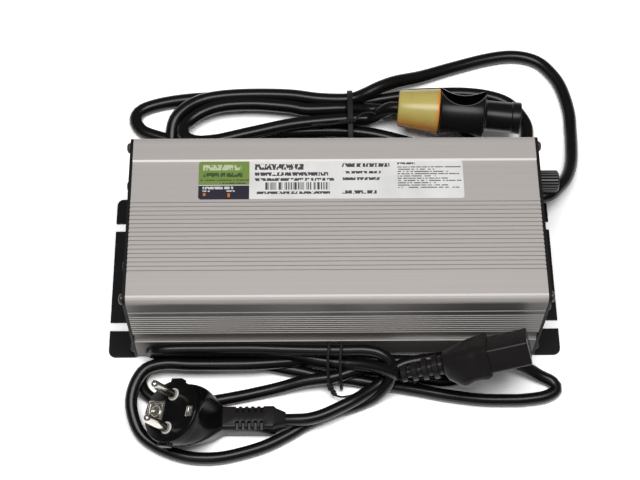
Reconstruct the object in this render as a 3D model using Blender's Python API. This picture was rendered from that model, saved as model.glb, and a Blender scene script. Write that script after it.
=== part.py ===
# Battery charger in a finned aluminium extrusion, with its output lead and its loose mains lead.
# Lengths below are in millimetres and become metres where a mesh is made. +X runs along the case to
# the socket end, -Y is the front, +Z is up, and the origin lies under the middle of the case.
import math

import bpy
import bmesh
from mathutils import Matrix, Vector

for old in list(bpy.data.objects):
    bpy.data.objects.remove(old)

MM = 0.001
GAP = 0.3
SEAT = 0.2

# Case extrusion
CASE_LENGTH = 225.0
CASE_WIDTH = 103.0
CASE_HEIGHT = 74.0
WALL = 2.5
TOP_CORNER = 4.0
FOOT_CORNER = 5.0
RECESS_DEPTH = 0.8
RECESS_REAR = CASE_WIDTH / 2.0 - 15.5
FIN_COUNT = 17
FIN_PITCH = 2.6
FIN_WIDTH = 1.3
FIN_DEPTH = 0.9
FIN_FIRST = 10.3
SEAM_HEIGHT = CASE_HEIGHT - 14.0
SEAM_DEPTH = 0.8
RIB_PITCH = 2.6
RIB_FIRST = SEAM_HEIGHT - 4.4
RIB_DEPTH = 0.6
COVE_TOP = 31.4
RIB_COUNT = 1 + int((RIB_FIRST - COVE_TOP - 1.0 - RIB_PITCH / 2.0) / RIB_PITCH)
COVE_FOOT = 22.0
COVE_DEPTH = 1.8
PORT_SIDE = 4.5
PORT_TOP = 5.5
PORT_BORE = 1.35
PORT_WALL = 2.0
PORT_SLIT = 1.2
RAIL_HEIGHT = 11.0
RAIL_THICK = 1.6
BOARD_THICK = 1.6

# End plates, bent from one sheet each
PLATE_THICK = 1.5
PLATE_BEND = 1.2
EAR_REACH = 17.0
EAR_CORNER = 4.0
SLOT_SPACING = 65.0
SLOT_WIDTH = 5.6
SLOT_START = 3.6
SCREW_HEAD = 6.0
SCREW_HEAD_HEIGHT = 2.2
SCREW_SHANK = 2.4
SCREW_LENGTH = 9.0
CROSS_LENGTH = 3.2
CROSS_WIDTH = 0.9
CROSS_DEPTH = 1.1

# Fan behind the left plate
FAN_SIZE = CASE_HEIGHT - 14.0
FAN_DEPTH = 15.0
FAN_BORE = FAN_SIZE - 3.0
FAN_HUB = FAN_SIZE * 0.45
FAN_TIP_GAP = 1.2
FAN_BLADES = 7
FAN_SCREW_SPACING = FAN_SIZE - 10.0
FAN_HEIGHT = FAN_SIZE / 2.0 + 8.5
GRILLE_SLOT = 3.0
GRILLE_BAR = 2.2
GRILLE_HUB = 8.0
GRILLE_PITCH = GRILLE_SLOT + GRILLE_BAR
GRILLE_RINGS = 1 + int((FAN_BORE / 2.0 - 1.0 - GRILLE_HUB - GRILLE_SLOT) / GRILLE_PITCH)

# Socket end
INLET_Y = 34.5 - CASE_WIDTH / 2.0
INLET_Z = CASE_HEIGHT / 2.0
INLET_WIDTH = 27.0
INLET_HEIGHT = 19.8
INLET_FLANGE = 50.0
INLET_FLANGE_HEIGHT = 22.5
INLET_FLANGE_THICK = 3.0
INLET_DEPTH = 22.0
INLET_CAVITY_WIDTH = 24.6
INLET_CAVITY_HEIGHT = 16.9
INLET_CAVITY_DEPTH = 16.0
INLET_SCREWS = 40.0
INLET_PIN_SPREAD = 14.0
FUSE_Y = CASE_WIDTH / 2.0 - 16.5
FUSE_Z = CASE_HEIGHT - 24.0
FUSE_BARREL = 12.6
FUSE_FLANGE = 16.0
FUSE_FLANGE_THICK = 2.8
FUSE_CAP = 12.6
FUSE_CAP_LENGTH = 10.6
FUSE_DEPTH = 30.0
LEAD_Y = CASE_WIDTH / 2.0 - 10.0
LEAD_Z = 20.5
LEAD_HOLE = 12.0
LAMP_Z = CASE_HEIGHT - 14.0
LAMP_FIRST_Y = 4.0
LAMP_SPACING = 11.0
LAMP_DIAMETER = 5.0
LAMP_PROUD = 1.8

LABEL_LEFT = 37.0 - CASE_LENGTH / 2.0
LABEL_RIGHT = CASE_LENGTH / 2.0 - 41.5
LABEL_FRONT = 11.0
LABEL_REAR = RECESS_REAR - 1.0
LABEL_THICK = 0.25

# Circuit board and what stands on it
BOARD_LEFT = 16.5 - CASE_LENGTH / 2.0
BOARD_RIGHT = CASE_LENGTH / 2.0 - 4.5
BOARD_CLEAR = 0.8
BOARD_WIDTH = CASE_WIDTH - 2.0 * (WALL + BOARD_CLEAR)
SHEET_THICK = 0.6
BAR_LEFT = BOARD_LEFT + 18.0
BAR_RIGHT = BOARD_RIGHT - 36.0
BAR_THICK = 6.0
BAR_HEIGHT = 30.0
PACKAGE = (16.0, 5.0, 21.0)
PACKAGE_PLACES = (BAR_LEFT + 18.0, BAR_LEFT + 42.0, 4.0, BAR_RIGHT - 22.0)
CORE = (40.0, 14.0, 34.0)
CORE_PLACE = (-8.0, -6.0)
CORE_LEG = 12.0
CORE_YOKE = 6.0
TOROID_WIRE = 1.6
TOROID_INNER = 8.0
TOROID_OUTER = 15.0
TOROID_TALL = 12.0
TOROID_PLACE = (34.0, 14.0)
BULK_PLACE = (BOARD_RIGHT - 48.0, 29.5 - CASE_WIDTH / 2.0)
BULK_DIAMETER = 25.0
BULK_TALL = 40.0
OUTPUT_CAN_PLACE = (-50.0, 20.0)
OUTPUT_CAN_DIAMETER = 16.0
OUTPUT_CAN_TALL = 30.0

# Output lead and its twist-lock connector
LEAD_DIAMETER = 8.0
RELIEF_DIAMETER = 11.0
RELIEF_REACH = 5.0
OUTPUT_HANK_LEFT = -125.0
OUTPUT_HANK_RIGHT = 22.0
OUTPUT_HANK_FRONT = 84.0
OUTPUT_HANK_REAR = 126.0
OUTPUT_HANK_HEIGHT = 16.0
OUTPUT_TIE_PLACE = 7.5
OUTPUT_TIE_WIDTH = 4.5
TIE_THICK = 0.9
TIE_GROOVE = 1.3
CONNECTOR_START = (40.3, 102.2, 23.3)
CONNECTOR_END = (114.1, 94.3, 23.3)
BUSHING_LENGTH = 25.0
BUSHING_SMALL = 22.0
BUSHING_LARGE = 28.0
BODY_DIAMETER = 30.0
BODY_LENGTH = 27.2
NOSE_DIAMETER = 18.5
NOSE_POST = 11.0
NOSE_RECESS = 12.0
LUG_LENGTH = 5.0
LUG_HEIGHT = 1.2
WAIST_RADIUS = 19.0
WAIST_DEPTH = 6.8
WAIST_TURN = -42.0

# Mains lead, its angled plug and its socket connector
MAINS_DIAMETER = 7.0
MAINS_HANK_LEFT = (-99.5, -59.9, 6.6)
MAINS_HANK_RIGHT = (21.5, -67.8, 14.5)
MAINS_HANK_HEIGHT = 22.0
MAINS_TIE_PLACES = (-5.4, 1.4)
MAINS_TIE_WIDTH = 1.4
PLUG_FACE = (-90.9, -94.6, 27.0)
PLUG_PINS = (-0.537, 0.01, 0.84)
PLUG_ACROSS = (-0.18, -0.97, -0.104)
PLUG_DIAMETER = 35.5
PLUG_RIM = 5.0
PIN_DIAMETER = 4.8
PIN_LENGTH = 19.0
PIN_SPACING = 19.0
EARTH_PLACE = 10.0
EARTH_HOLE = 4.9
EARTH_FRAME = 11.5
CLIP_PLACE = 13.5
CLIP_WIDTH = 6.0
CLIP_DEPTH = 4.0
NECK_START = (-62.4, -93.0, 7.2)
NECK_AXIS = (1.0, -0.02, 0.08)
NECK_LENGTH = 28.0
NECK_TIP = 6.5
NECK_WIDTH = 13.5
NECK_HEIGHT = 12.0
SOCKET_END = (104.7, -65.2, 44.3)
SOCKET_AXIS = (0.956, 0.108, 0.273)
SOCKET_FACE = (-0.264, 0.72, 0.642)
SOCKET_WIDTH = 23.0
SOCKET_HEIGHT = 14.4
SOCKET_LENGTH = 22.0
GRIP_WIDTH = 28.0
GRIP_HEIGHT = 19.0
GRIP_LENGTH = 24.0
SOCKET_RELIEF = 26.2
RELIEF_RIBS = 4

MATERIALS = {
    "anodised": ((0.50, 0.48, 0.46), 0.38, 0.9),
    "black_paint": ((0.012, 0.012, 0.013), 0.5, 0.0),
    "black_steel": ((0.03, 0.03, 0.03), 0.35, 0.7),
    "black_plastic": ((0.018, 0.017, 0.017), 0.42, 0.0),
    "pvc": ((0.012, 0.011, 0.011), 0.3, 0.0),
    "amber": ((0.62, 0.45, 0.05), 0.3, 0.0),
    "nickel": ((0.62, 0.60, 0.56), 0.25, 1.0),
    "brass": ((0.60, 0.45, 0.18), 0.3, 1.0),
    "paper": ((0.82, 0.82, 0.80), 0.5, 0.0),
    "board": ((0.05, 0.16, 0.07), 0.5, 0.0),
    "film": ((0.75, 0.72, 0.60), 0.5, 0.0),
    "aluminium": ((0.60, 0.60, 0.60), 0.4, 1.0),
    "ferrite": ((0.05, 0.05, 0.055), 0.6, 0.1),
    "copper": ((0.60, 0.24, 0.10), 0.35, 0.9),
    "yellow_tape": ((0.80, 0.62, 0.08), 0.5, 0.0),
    "capacitor": ((0.03, 0.05, 0.12), 0.35, 0.0),
    "glass": ((0.75, 0.78, 0.78), 0.1, 0.0),
    "red_lamp": ((0.65, 0.03, 0.02), 0.2, 0.0),
    "green_lamp": ((0.05, 0.50, 0.08), 0.2, 0.0),
    "resin": ((0.04, 0.04, 0.045), 0.5, 0.0),
}


def material(key):
    found = bpy.data.materials.get(key)
    if found:
        return found
    colour, roughness, metallic = MATERIALS[key]
    made = bpy.data.materials.new(key)
    made.use_nodes = True
    shader = made.node_tree.nodes["Principled BSDF"]
    shader.inputs["Base Color"].default_value = (*colour, 1.0)
    shader.inputs["Roughness"].default_value = roughness
    shader.inputs["Metallic"].default_value = metallic
    made.diffuse_color = (*colour, 1.0)
    return made


def finish(bm, name, key, smooth=False):
    """Turns a mesh drawn in millimetres into a named object in metres."""
    bmesh.ops.recalc_face_normals(bm, faces=bm.faces)
    bmesh.ops.scale(bm, vec=(MM, MM, MM), verts=bm.verts)
    mesh = bpy.data.meshes.new(name)
    bm.to_mesh(mesh)
    bm.free()
    mesh.materials.append(material(key))
    if smooth:
        mesh.shade_smooth()
        mesh.set_sharp_from_angle(angle=math.radians(35.0))
    made = bpy.data.objects.new(name, mesh)
    bpy.context.scene.collection.objects.link(made)
    return made


def place(plane, a, b, along):
    """A point of a flat outline: plane YZ stands across X, XY lies across Z, XZ stands across Y."""
    if plane == "YZ":
        return Vector((along, a, b))
    if plane == "XY":
        return Vector((a, b, along))
    return Vector((a, along, b))


def add_prism(bm, loops, plane, low, high):
    """Adds a straight bar with the first loop as its outline and the others as holes through it."""
    edges = []
    for loop in loops:
        verts = [bm.verts.new(place(plane, a, b, low)) for a, b in loop]
        edges += [bm.edges.new((verts[i], verts[(i + 1) % len(verts)])) for i in range(len(verts))]
    fill = bmesh.ops.triangle_fill(bm, use_beauty=True, use_dissolve=False, edges=edges)
    faces = [item for item in fill["geom"] if isinstance(item, bmesh.types.BMFace)]
    grown = bmesh.ops.extrude_face_region(bm, geom=faces)
    moved = [item for item in grown["geom"] if isinstance(item, bmesh.types.BMVert)]
    shift = place(plane, 0.0, 0.0, high) - place(plane, 0.0, 0.0, low)
    bmesh.ops.translate(bm, vec=shift, verts=moved)


def prism(name, key, loops, plane, low, high, smooth=False):
    bm = bmesh.new()
    add_prism(bm, loops, plane, low, high)
    return finish(bm, name, key, smooth)


def arc(cx, cy, radius, start, end, count):
    """Points on a circle from one angle to another, in degrees."""
    turn = [math.radians(start + (end - start) * i / count) for i in range(count + 1)]
    return [(cx + radius * math.cos(t), cy + radius * math.sin(t)) for t in turn]


def circle(cx, cy, radius, count=24):
    return arc(cx, cy, radius, 0.0, 360.0, count)[:-1]


def rounded(cx, cy, width, height, radius, count=4):
    """A rectangle with round corners, anticlockwise."""
    w = width / 2.0 - radius
    h = height / 2.0 - radius
    points = []
    for sx, sy, start in ((1, -1, -90.0), (1, 1, 0.0), (-1, 1, 90.0), (-1, -1, 180.0)):
        points += arc(cx + sx * w, cy + sy * h, radius, start, start + 90.0, count)
    return points


def frame_along(direction, hint=(0.0, 0.0, 1.0)):
    """A turn that takes +Z to the direction, with +X kept close to the hint."""
    axis = Vector(direction).normalized()
    side = Vector(hint) - axis * Vector(hint).dot(axis)
    if side.length < 0.01:
        side = Vector((0.0, 1.0, 0.0))
    side.normalize()
    return Matrix((side, axis.cross(side), axis)).transposed()


def add_turned(bm, profile, centre, direction, count=24):
    """Adds a solid of revolution from (distance along, radius) points, the end ones at radius zero."""
    turn = frame_along(direction)
    origin = Vector(centre)
    rings = []
    for along, radius in profile:
        if radius < 0.001:
            rings.append([bm.verts.new(origin + turn @ Vector((0.0, 0.0, along)))])
            continue
        ring = []
        for x, y in circle(0.0, 0.0, radius, count):
            ring.append(bm.verts.new(origin + turn @ Vector((x, y, along))))
        rings.append(ring)
    for first, second in zip(rings, rings[1:]):
        join_rings(bm, first, second)


def join_rings(bm, first, second):
    count = max(len(first), len(second))
    for i in range(count):
        j = (i + 1) % count
        if len(first) == 1:
            bm.faces.new((first[0], second[j], second[i]))
        elif len(second) == 1:
            bm.faces.new((first[i], first[j], second[0]))
        else:
            bm.faces.new((first[i], first[j], second[j], second[i]))


def turned(name, key, profile, centre, direction, count=24):
    bm = bmesh.new()
    add_turned(bm, profile, centre, direction, count)
    return finish(bm, name, key, smooth=True)


def add_loft(bm, sections):
    """Joins rings of points, with the same count in each, into one closed body."""
    rings = [[bm.verts.new(point) for point in ring] for ring in sections]
    for first, second in zip(rings, rings[1:]):
        join_rings(bm, first, second)
    bm.faces.new(list(reversed(rings[0])))
    bm.faces.new(rings[-1])


def section(outline, centre, turn):
    """Lays a flat outline at a place in space."""
    return [Vector(centre) + turn @ Vector((x, y, 0.0)) for x, y in outline]


def cut(target, cutter, operation="DIFFERENCE"):
    """Cuts a body with a hidden one, which stays in the file as a guide."""
    cutter.hide_render = True
    cutter.display_type = "WIRE"
    step = target.modifiers.new(cutter.name, "BOOLEAN")
    step.operation = operation
    step.solver = "EXACT"
    step.object = cutter


# Case extrusion: one hollow aluminium profile with fins on top and ribbed sides

HALF = CASE_WIDTH / 2.0
END = CASE_LENGTH / 2.0
PORTS = [
    (sy * (HALF - PORT_SIDE), z)
    for sy in (-1, 1)
    for z in (PORT_TOP, CASE_HEIGHT - PORT_TOP)
]


def side_depths():
    """Depth below the side's plane and height, from the top corner down to the foot corner."""
    lip = SEAM_DEPTH + 0.3
    line = [(0.0, SEAM_HEIGHT + lip), (SEAM_DEPTH, SEAM_HEIGHT + lip)]
    line += [(SEAM_DEPTH, SEAM_HEIGHT + SEAM_DEPTH), (0.0, SEAM_HEIGHT)]
    for i in range(RIB_COUNT):
        top = RIB_FIRST - i * RIB_PITCH
        groove = RIB_PITCH / 2.0
        line += [(0.0, top), (RIB_DEPTH, top)]
        line += [(RIB_DEPTH, top - groove + RIB_DEPTH), (0.0, top - groove)]
    line += [(0.0, COVE_TOP), (COVE_DEPTH, COVE_TOP)]
    flare = (COVE_TOP - COVE_FOOT) * 0.6
    for i in range(7):
        turn = math.radians(90.0 * i / 6.0)
        line.append((COVE_DEPTH * math.cos(turn), COVE_FOOT + flare * (1.0 - math.sin(turn))))
    return line


def case_outline():
    """The outer line of the profile, round from the rear top corner over the top to the front."""
    top = CASE_HEIGHT
    points = arc(HALF - TOP_CORNER, top - TOP_CORNER, TOP_CORNER, 0.0, 90.0, 5)
    points += [(RECESS_REAR, top), (RECESS_REAR - RECESS_DEPTH, top - RECESS_DEPTH)]
    points += [(FIN_FIRST + 0.4, top - RECESS_DEPTH), (FIN_FIRST, top)]
    for i in range(FIN_COUNT):
        front = FIN_FIRST - FIN_WIDTH - i * FIN_PITCH
        rear = front - (FIN_PITCH - FIN_WIDTH)
        points += [(front, top), (front, top - FIN_DEPTH)]
        points += [(rear, top - FIN_DEPTH), (rear, top)]
    points += arc(-HALF + TOP_CORNER, top - TOP_CORNER, TOP_CORNER, 90.0, 180.0, 5)
    points += [(-HALF + depth, height) for depth, height in side_depths()]
    points += arc(-HALF + FOOT_CORNER, FOOT_CORNER, FOOT_CORNER, 180.0, 270.0, 5)
    points += arc(HALF - FOOT_CORNER, FOOT_CORNER, FOOT_CORNER, 270.0, 360.0, 5)
    points += [(HALF - depth, height) for depth, height in reversed(side_depths())]
    return points


def port_outline(sy, sz):
    """The screw port of one inner corner, drawn for the rear top corner and mirrored to the others."""
    cy = HALF - PORT_SIDE
    cz = CASE_HEIGHT - PORT_TOP
    outer = PORT_BORE + PORT_WALL
    slit = math.degrees(math.asin(PORT_SLIT / 2.0 / PORT_BORE))
    slit_out = math.degrees(math.asin(PORT_SLIT / 2.0 / outer))
    roof = CASE_HEIGHT - WALL
    side = HALF - WALL
    meet_roof = math.degrees(math.asin((roof - cz) / outer))
    meet_side = math.degrees(math.acos((side - cy) / outer))
    start = -meet_side if sz > 0 else -90.0
    line = arc(cy, cz, outer, start, -135.0 + slit_out, 5)
    line += arc(cy, cz, PORT_BORE, 225.0 + slit, 585.0 - slit, 12)
    line += arc(cy, cz, outer, 225.0 - slit_out, 180.0 - meet_roof, 6)
    return [(sy * y, z if sz > 0 else CASE_HEIGHT - z) for y, z in line]


def rail_outline(sy):
    """The pair of ribs on one inner side wall that hold the circuit board, from the top down."""
    wall = HALF - WALL
    thick = max(WALL, COVE_DEPTH + WALL * 0.6)
    inner = HALF - thick
    reach = PORT_SIDE - WALL
    slot_half = BOARD_THICK / 2.0 + GAP
    line = [(wall, COVE_TOP + 3.0), (inner, COVE_TOP + 1.0), (inner, COVE_FOOT - 1.0)]
    line += [(wall, COVE_FOOT - 3.0)]
    line += [(wall, RAIL_HEIGHT + slot_half + RAIL_THICK)]
    line += [(wall - reach, RAIL_HEIGHT + slot_half + RAIL_THICK)]
    line += [(wall - reach, RAIL_HEIGHT + slot_half), (wall, RAIL_HEIGHT + slot_half)]
    line += [(wall, RAIL_HEIGHT - slot_half), (wall - reach, RAIL_HEIGHT - slot_half)]
    return [(sy * y, z) for y, z in line]


def case_bore():
    """The inner line of the profile, with a screw port in each corner and a board rail each side."""
    points = rail_outline(1)
    points += port_outline(1, -1)
    points += list(reversed(port_outline(-1, -1)))
    points += list(reversed(rail_outline(-1)))
    points += port_outline(-1, 1)
    points += list(reversed(port_outline(1, 1)))
    return points


def make_case():
    prism("case_shell", "anodised", [case_outline(), case_bore()], "YZ", -END, END)


make_case()


# End plates: each is one sheet bent outwards at its foot into the ears, with two open slots

PLATE_IN = END + SEAT
PLATE_OUT = PLATE_IN + PLATE_THICK
EAR_END = END + EAR_REACH


def plate_blank(name, side):
    """The bent sheet with round top corners and round ear corners, before its holes."""
    inner = PLATE_BEND
    outer = PLATE_BEND + PLATE_THICK
    cx = PLATE_OUT + PLATE_BEND
    line = [(PLATE_IN, CASE_HEIGHT)]
    line += arc(cx, outer, outer, 180.0, 270.0, 5)
    line += [(EAR_END, 0.0), (EAR_END, PLATE_THICK)]
    line += arc(cx, outer, inner, 270.0, 180.0, 5)
    line += [(PLATE_OUT, CASE_HEIGHT)]
    plate = prism(name, "black_paint", [[(side * x, z) for x, z in line]], "XZ", -HALF, HALF)
    face = rounded(0.0, CASE_HEIGHT / 2.0 - 10.0, CASE_WIDTH, CASE_HEIGHT + 20.0, TOP_CORNER, 6)
    low = min(side * END, side * EAR_END) - 2.0
    high = max(side * END, side * EAR_END) + 2.0
    cut(plate, prism(name + "_face", "black_paint", [face], "YZ", low, high), "INTERSECT")
    plan = [(END - 1.0, -HALF - 1.0), (END - 1.0, HALF + 1.0), (PLATE_OUT, HALF + 1.0)]
    plan += [(PLATE_OUT, HALF)]
    plan += arc(EAR_END - EAR_CORNER, HALF - EAR_CORNER, EAR_CORNER, 90.0, 0.0, 5)
    plan += arc(EAR_END - EAR_CORNER, -HALF + EAR_CORNER, EAR_CORNER, 0.0, -90.0, 5)
    plan += [(PLATE_OUT, -HALF), (PLATE_OUT, -HALF - 1.0)]
    plan = [(side * x, y) for x, y in plan]
    cutter = prism(name + "_plan", "black_paint", [plan], "XY", -1.0, CASE_HEIGHT + 1.0)
    cut(plate, cutter, "INTERSECT")
    return plate


def ear_slots(bm, side):
    """Adds the two bodies that cut the open slots of one ear."""
    radius = SLOT_WIDTH / 2.0
    centre = PLATE_OUT + SLOT_START + radius - 1.0
    for y in (-SLOT_SPACING / 2.0, SLOT_SPACING / 2.0):
        line = arc(centre, y, radius, 90.0, 270.0, 8)
        line += [(EAR_END + 2.0, y - radius), (EAR_END + 2.0, y + radius)]
        add_prism(bm, [[(side * x, b) for x, b in line]], "XY", -1.0, PLATE_THICK + 1.0)


def through(bm, outline, side):
    """Adds a body that cuts an outline through the upright sheet of one plate."""
    low = min(side * (PLATE_IN - 1.0), side * (PLATE_OUT + 1.0))
    add_prism(bm, [outline], "YZ", low, low + PLATE_THICK + 2.0)


def grille_outlines():
    """Four rings of slots around the middle of the fan, parted by four spokes."""
    found = []
    for ring in range(GRILLE_RINGS):
        inner = GRILLE_HUB + ring * (GRILLE_SLOT + GRILLE_BAR)
        outer = inner + GRILLE_SLOT
        steps = 4 + 2 * ring
        for quarter in range(4):
            start = 45.0 + 90.0 * quarter
            near = math.degrees(math.asin(GRILLE_BAR / 2.0 / inner))
            far = math.degrees(math.asin(GRILLE_BAR / 2.0 / outer))
            line = arc(0.0, FAN_HEIGHT, outer, start + far, start + 90.0 - far, steps)
            line += arc(0.0, FAN_HEIGHT, inner, start + 90.0 - near, start + near, steps)
            found.append(line)
    return found


def fan_corners():
    half = FAN_SCREW_SPACING / 2.0
    return [(sy * half, FAN_HEIGHT + sz * half) for sy in (-1, 1) for sz in (-1, 1)]


def make_left_plate():
    plate = plate_blank("left_end_plate", -1)
    bm = bmesh.new()
    ear_slots(bm, -1)
    for line in grille_outlines():
        through(bm, line, -1)
    for y, z in PORTS + fan_corners():
        through(bm, circle(y, z, SCREW_SHANK / 2.0 + GAP, 16), -1)
    cut(plate, finish(bm, "left_end_plate_holes", "black_paint"))


def make_right_plate():
    plate = plate_blank("right_end_plate", 1)
    bm = bmesh.new()
    ear_slots(bm, 1)
    width = INLET_WIDTH + 2.0 * GAP
    height = INLET_HEIGHT + 2.0 * GAP
    through(bm, rounded(INLET_Y, INLET_Z, width, height, 2.0), 1)
    holes = PORTS + inlet_screw_places()
    for y, z in holes:
        through(bm, circle(y, z, SCREW_SHANK / 2.0 + GAP, 16), 1)
    through(bm, circle(FUSE_Y, FUSE_Z, FUSE_BARREL / 2.0 + GAP), 1)
    through(bm, circle(LEAD_Y, LEAD_Z, LEAD_HOLE / 2.0), 1)
    for y in (LAMP_FIRST_Y, LAMP_FIRST_Y + LAMP_SPACING):
        through(bm, circle(y, LAMP_Z, LAMP_DIAMETER / 2.0 + GAP, 16), 1)
    cut(plate, finish(bm, "right_end_plate_holes", "black_paint"))


def inlet_screw_places():
    return [(INLET_Y - INLET_SCREWS / 2.0, INLET_Z), (INLET_Y + INLET_SCREWS / 2.0, INLET_Z)]


def add_cross(bm, y, z, low, high):
    """Adds the cross-shaped recess of a screw head that faces along X."""
    a = CROSS_LENGTH / 2.0
    b = CROSS_WIDTH / 2.0
    line = [(a, -b), (a, b), (b, b), (b, a), (-b, a), (-b, b)]
    line += [(-a, b), (-a, -b), (-b, -b), (-b, -a), (b, -a), (b, -b)]
    add_prism(bm, [[(y + p, z + q) for p, q in line]], "YZ", low, high)


def add_pan_screw(bm, recess, y, z, side, seat, length, head_height):
    """Adds a round-headed screw driven along X, and the cross that is cut into its head."""
    head = SCREW_HEAD / 2.0
    shank = SCREW_SHANK / 2.0
    line = [(-length, 0.0), (-length, shank * 0.7), (-length + 0.6, shank), (0.0, shank)]
    line += [(0.0, head - 0.2), (0.2, head), (head_height * 0.45, head)]
    line += [(head_height * 0.85, head * 0.78), (head_height, head * 0.4), (head_height, 0.0)]
    add_turned(bm, line, (side * seat, y, z), (side, 0.0, 0.0), 16)
    low = side * (seat + head_height - min(CROSS_DEPTH, head_height * 0.6))
    high = side * (seat + head_height + 1.0)
    add_cross(recess, y, z, min(low, high), max(low, high))


def make_screws(name, places, side, seat, length):
    for number, (y, z) in enumerate(places, 1):
        bm = bmesh.new()
        recess = bmesh.new()
        add_pan_screw(bm, recess, y, z, side, seat, length, SCREW_HEAD_HEIGHT)
        screw = finish(bm, f"{name}_{number}", "black_steel", smooth=True)
        cut(screw, finish(recess, f"{name}_{number}_recess", "black_steel"))


make_left_plate()
make_right_plate()
make_screws("left_plate_screw", PORTS, -1, PLATE_OUT + SEAT, SCREW_LENGTH)
make_screws("right_plate_screw", PORTS, 1, PLATE_OUT + SEAT, SCREW_LENGTH)


# Label: a generic printed sticker in the shallow recess of the top

def make_label():
    floor = CASE_HEIGHT - RECESS_DEPTH + 0.1
    width = LABEL_RIGHT - LABEL_LEFT
    depth = LABEL_REAR - LABEL_FRONT
    line = rounded(LABEL_LEFT + width / 2.0, LABEL_FRONT + depth / 2.0, width, depth, 1.5)
    prism("label", "paper", [line], "XY", floor, floor + LABEL_THICK)


make_label()


# Fan: a square frame held behind the grille by four screws, fused to it here, and its rotor

FAN_FACE = -END + 0.1
FAN_BACK = FAN_FACE + FAN_DEPTH
HUB_RADIUS = FAN_HUB / 2.0
MOTOR_DEPTH = 4.0


def make_fan_frame():
    corner = FAN_SIZE / 2.0
    outline = rounded(0.0, FAN_HEIGHT, 2.0 * corner, 2.0 * corner, 4.0)
    bore = circle(0.0, FAN_HEIGHT, FAN_BORE / 2.0, 40)
    frame = prism("fan_frame", "black_plastic", [outline, bore], "YZ", FAN_FACE, FAN_BACK)
    bm = bmesh.new()
    low = FAN_BACK - MOTOR_DEPTH
    add_prism(bm, [circle(0.0, FAN_HEIGHT, HUB_RADIUS)], "YZ", low, FAN_BACK)
    motor = finish(bm, "fan_motor_base", "black_plastic")
    cut(frame, motor, "UNION")
    bm = bmesh.new()
    for turn in (30.0, 150.0, 270.0):
        spoke = math.radians(turn)
        out = Vector((math.cos(spoke), math.sin(spoke)))
        side = Vector((-out.y, out.x)) * 1.6
        ends = [out * (HUB_RADIUS - 1.5) - side, out * (FAN_BORE / 2.0 + 1.0) - side]
        ends += [out * (FAN_BORE / 2.0 + 1.0) + side, out * (HUB_RADIUS - 1.5) + side]
        line = [(p.x, FAN_HEIGHT + p.y) for p in ends]
        add_prism(bm, [line], "YZ", low + 0.6, FAN_BACK - 0.4)
    cut(frame, finish(bm, "fan_struts", "black_plastic"), "UNION")
    bore_low = low - 1.0
    bearing = prism(
        "fan_bearing", "black_plastic", [circle(0.0, FAN_HEIGHT, 1.5 + GAP, 12)], "YZ",
        bore_low, FAN_BACK - 1.0,
    )
    cut(frame, bearing)
    screws = bmesh.new()
    recess = bmesh.new()
    for y, z in fan_corners():
        add_pan_screw(screws, recess, y, z, -1, PLATE_OUT + SEAT, 8.0, 1.6)
    cut(frame, finish(screws, "fan_screws", "black_steel"), "UNION")
    cut(frame, finish(recess, "fan_screws_recess", "black_steel"))


def make_fan_rotor():
    front = FAN_FACE + 1.0
    back = FAN_BACK - MOTOR_DEPTH - 0.5
    line = [(0.0, 0.0), (0.0, HUB_RADIUS - 1.5), (1.5, HUB_RADIUS), (back - front, HUB_RADIUS)]
    line += [(back - front, 1.5), (back - front + 3.0, 1.5), (back - front + 3.0, 0.0)]
    rotor = turned("fan_rotor", "black_plastic", line, (front, 0.0, FAN_HEIGHT), (1.0, 0.0, 0.0), 28)
    middle = (front + back) / 2.0
    tip = FAN_BORE / 2.0 - FAN_TIP_GAP
    bm = bmesh.new()
    for blade in range(FAN_BLADES):
        turn = Matrix.Rotation(math.radians(360.0 * blade / FAN_BLADES), 3, "X")
        rings = []
        half_way = (HUB_RADIUS + tip) / 2.0
        stages = ((HUB_RADIUS - 1.0, 42.0, 0.37), (half_way, 35.0, 0.46), (tip, 28.0, 0.53))
        for reach, pitch, share in stages:
            lean = math.radians(pitch)
            along = Vector((math.sin(lean), math.cos(lean), 0.0)) * (share * tip / 2.0)
            thick = Vector((math.cos(lean), -math.sin(lean), 0.0)) * 0.6
            centre = Vector((0.0, 0.0, math.sqrt(reach * reach - along.y * along.y)))
            ring = [centre - along - thick, centre + along - thick]
            ring += [centre + along + thick, centre - along + thick]
            shift = Vector((middle, 0.0, FAN_HEIGHT))
            rings.append([shift + turn @ point for point in ring])
        add_loft(bm, rings)
    cut(rotor, finish(bm, "fan_blades", "black_plastic"), "UNION")


make_fan_frame()
make_fan_rotor()


# Circuit board on its rails, the sheet under it and what stands on it

BOARD_TOP = RAIL_HEIGHT + BOARD_THICK / 2.0
STAND = BOARD_TOP + SEAT


def box(name, key, x0, x1, y0, y1, z0, z1):
    line = [(x0, y0), (x1, y0), (x1, y1), (x0, y1)]
    return prism(name, key, [line], "XY", z0, z1)


def make_board():
    half = BOARD_WIDTH / 2.0
    low = BOARD_TOP - BOARD_THICK
    box("circuit_board", "board", BOARD_LEFT, BOARD_RIGHT, -half, half, low, BOARD_TOP)
    side = HALF - PORT_SIDE - PORT_BORE - PORT_WALL - 1.0
    floor = WALL + SEAT
    box("insulation_sheet", "film", BOARD_LEFT, BOARD_RIGHT, -side, side, floor, floor + SHEET_THICK)


def make_heat_bar():
    """A thick bar on the front rail and against the wall, with the power packages on its face."""
    wall = -(HALF - max(WALL, COVE_DEPTH + WALL * 0.6)) + SEAT
    inner = wall + BAR_THICK
    low = RAIL_HEIGHT + BOARD_THICK / 2.0 + GAP + RAIL_THICK + SEAT
    top = low + BAR_HEIGHT
    box("heat_bar", "aluminium", BAR_LEFT, BAR_RIGHT, wall, inner, low, top)
    names = ("power_transistor_1", "power_transistor_2", "output_rectifier", "bridge_rectifier")
    for name, x in zip(names, PACKAGE_PLACES):
        make_package(name, x, inner + SEAT, top - 1.0)


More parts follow.
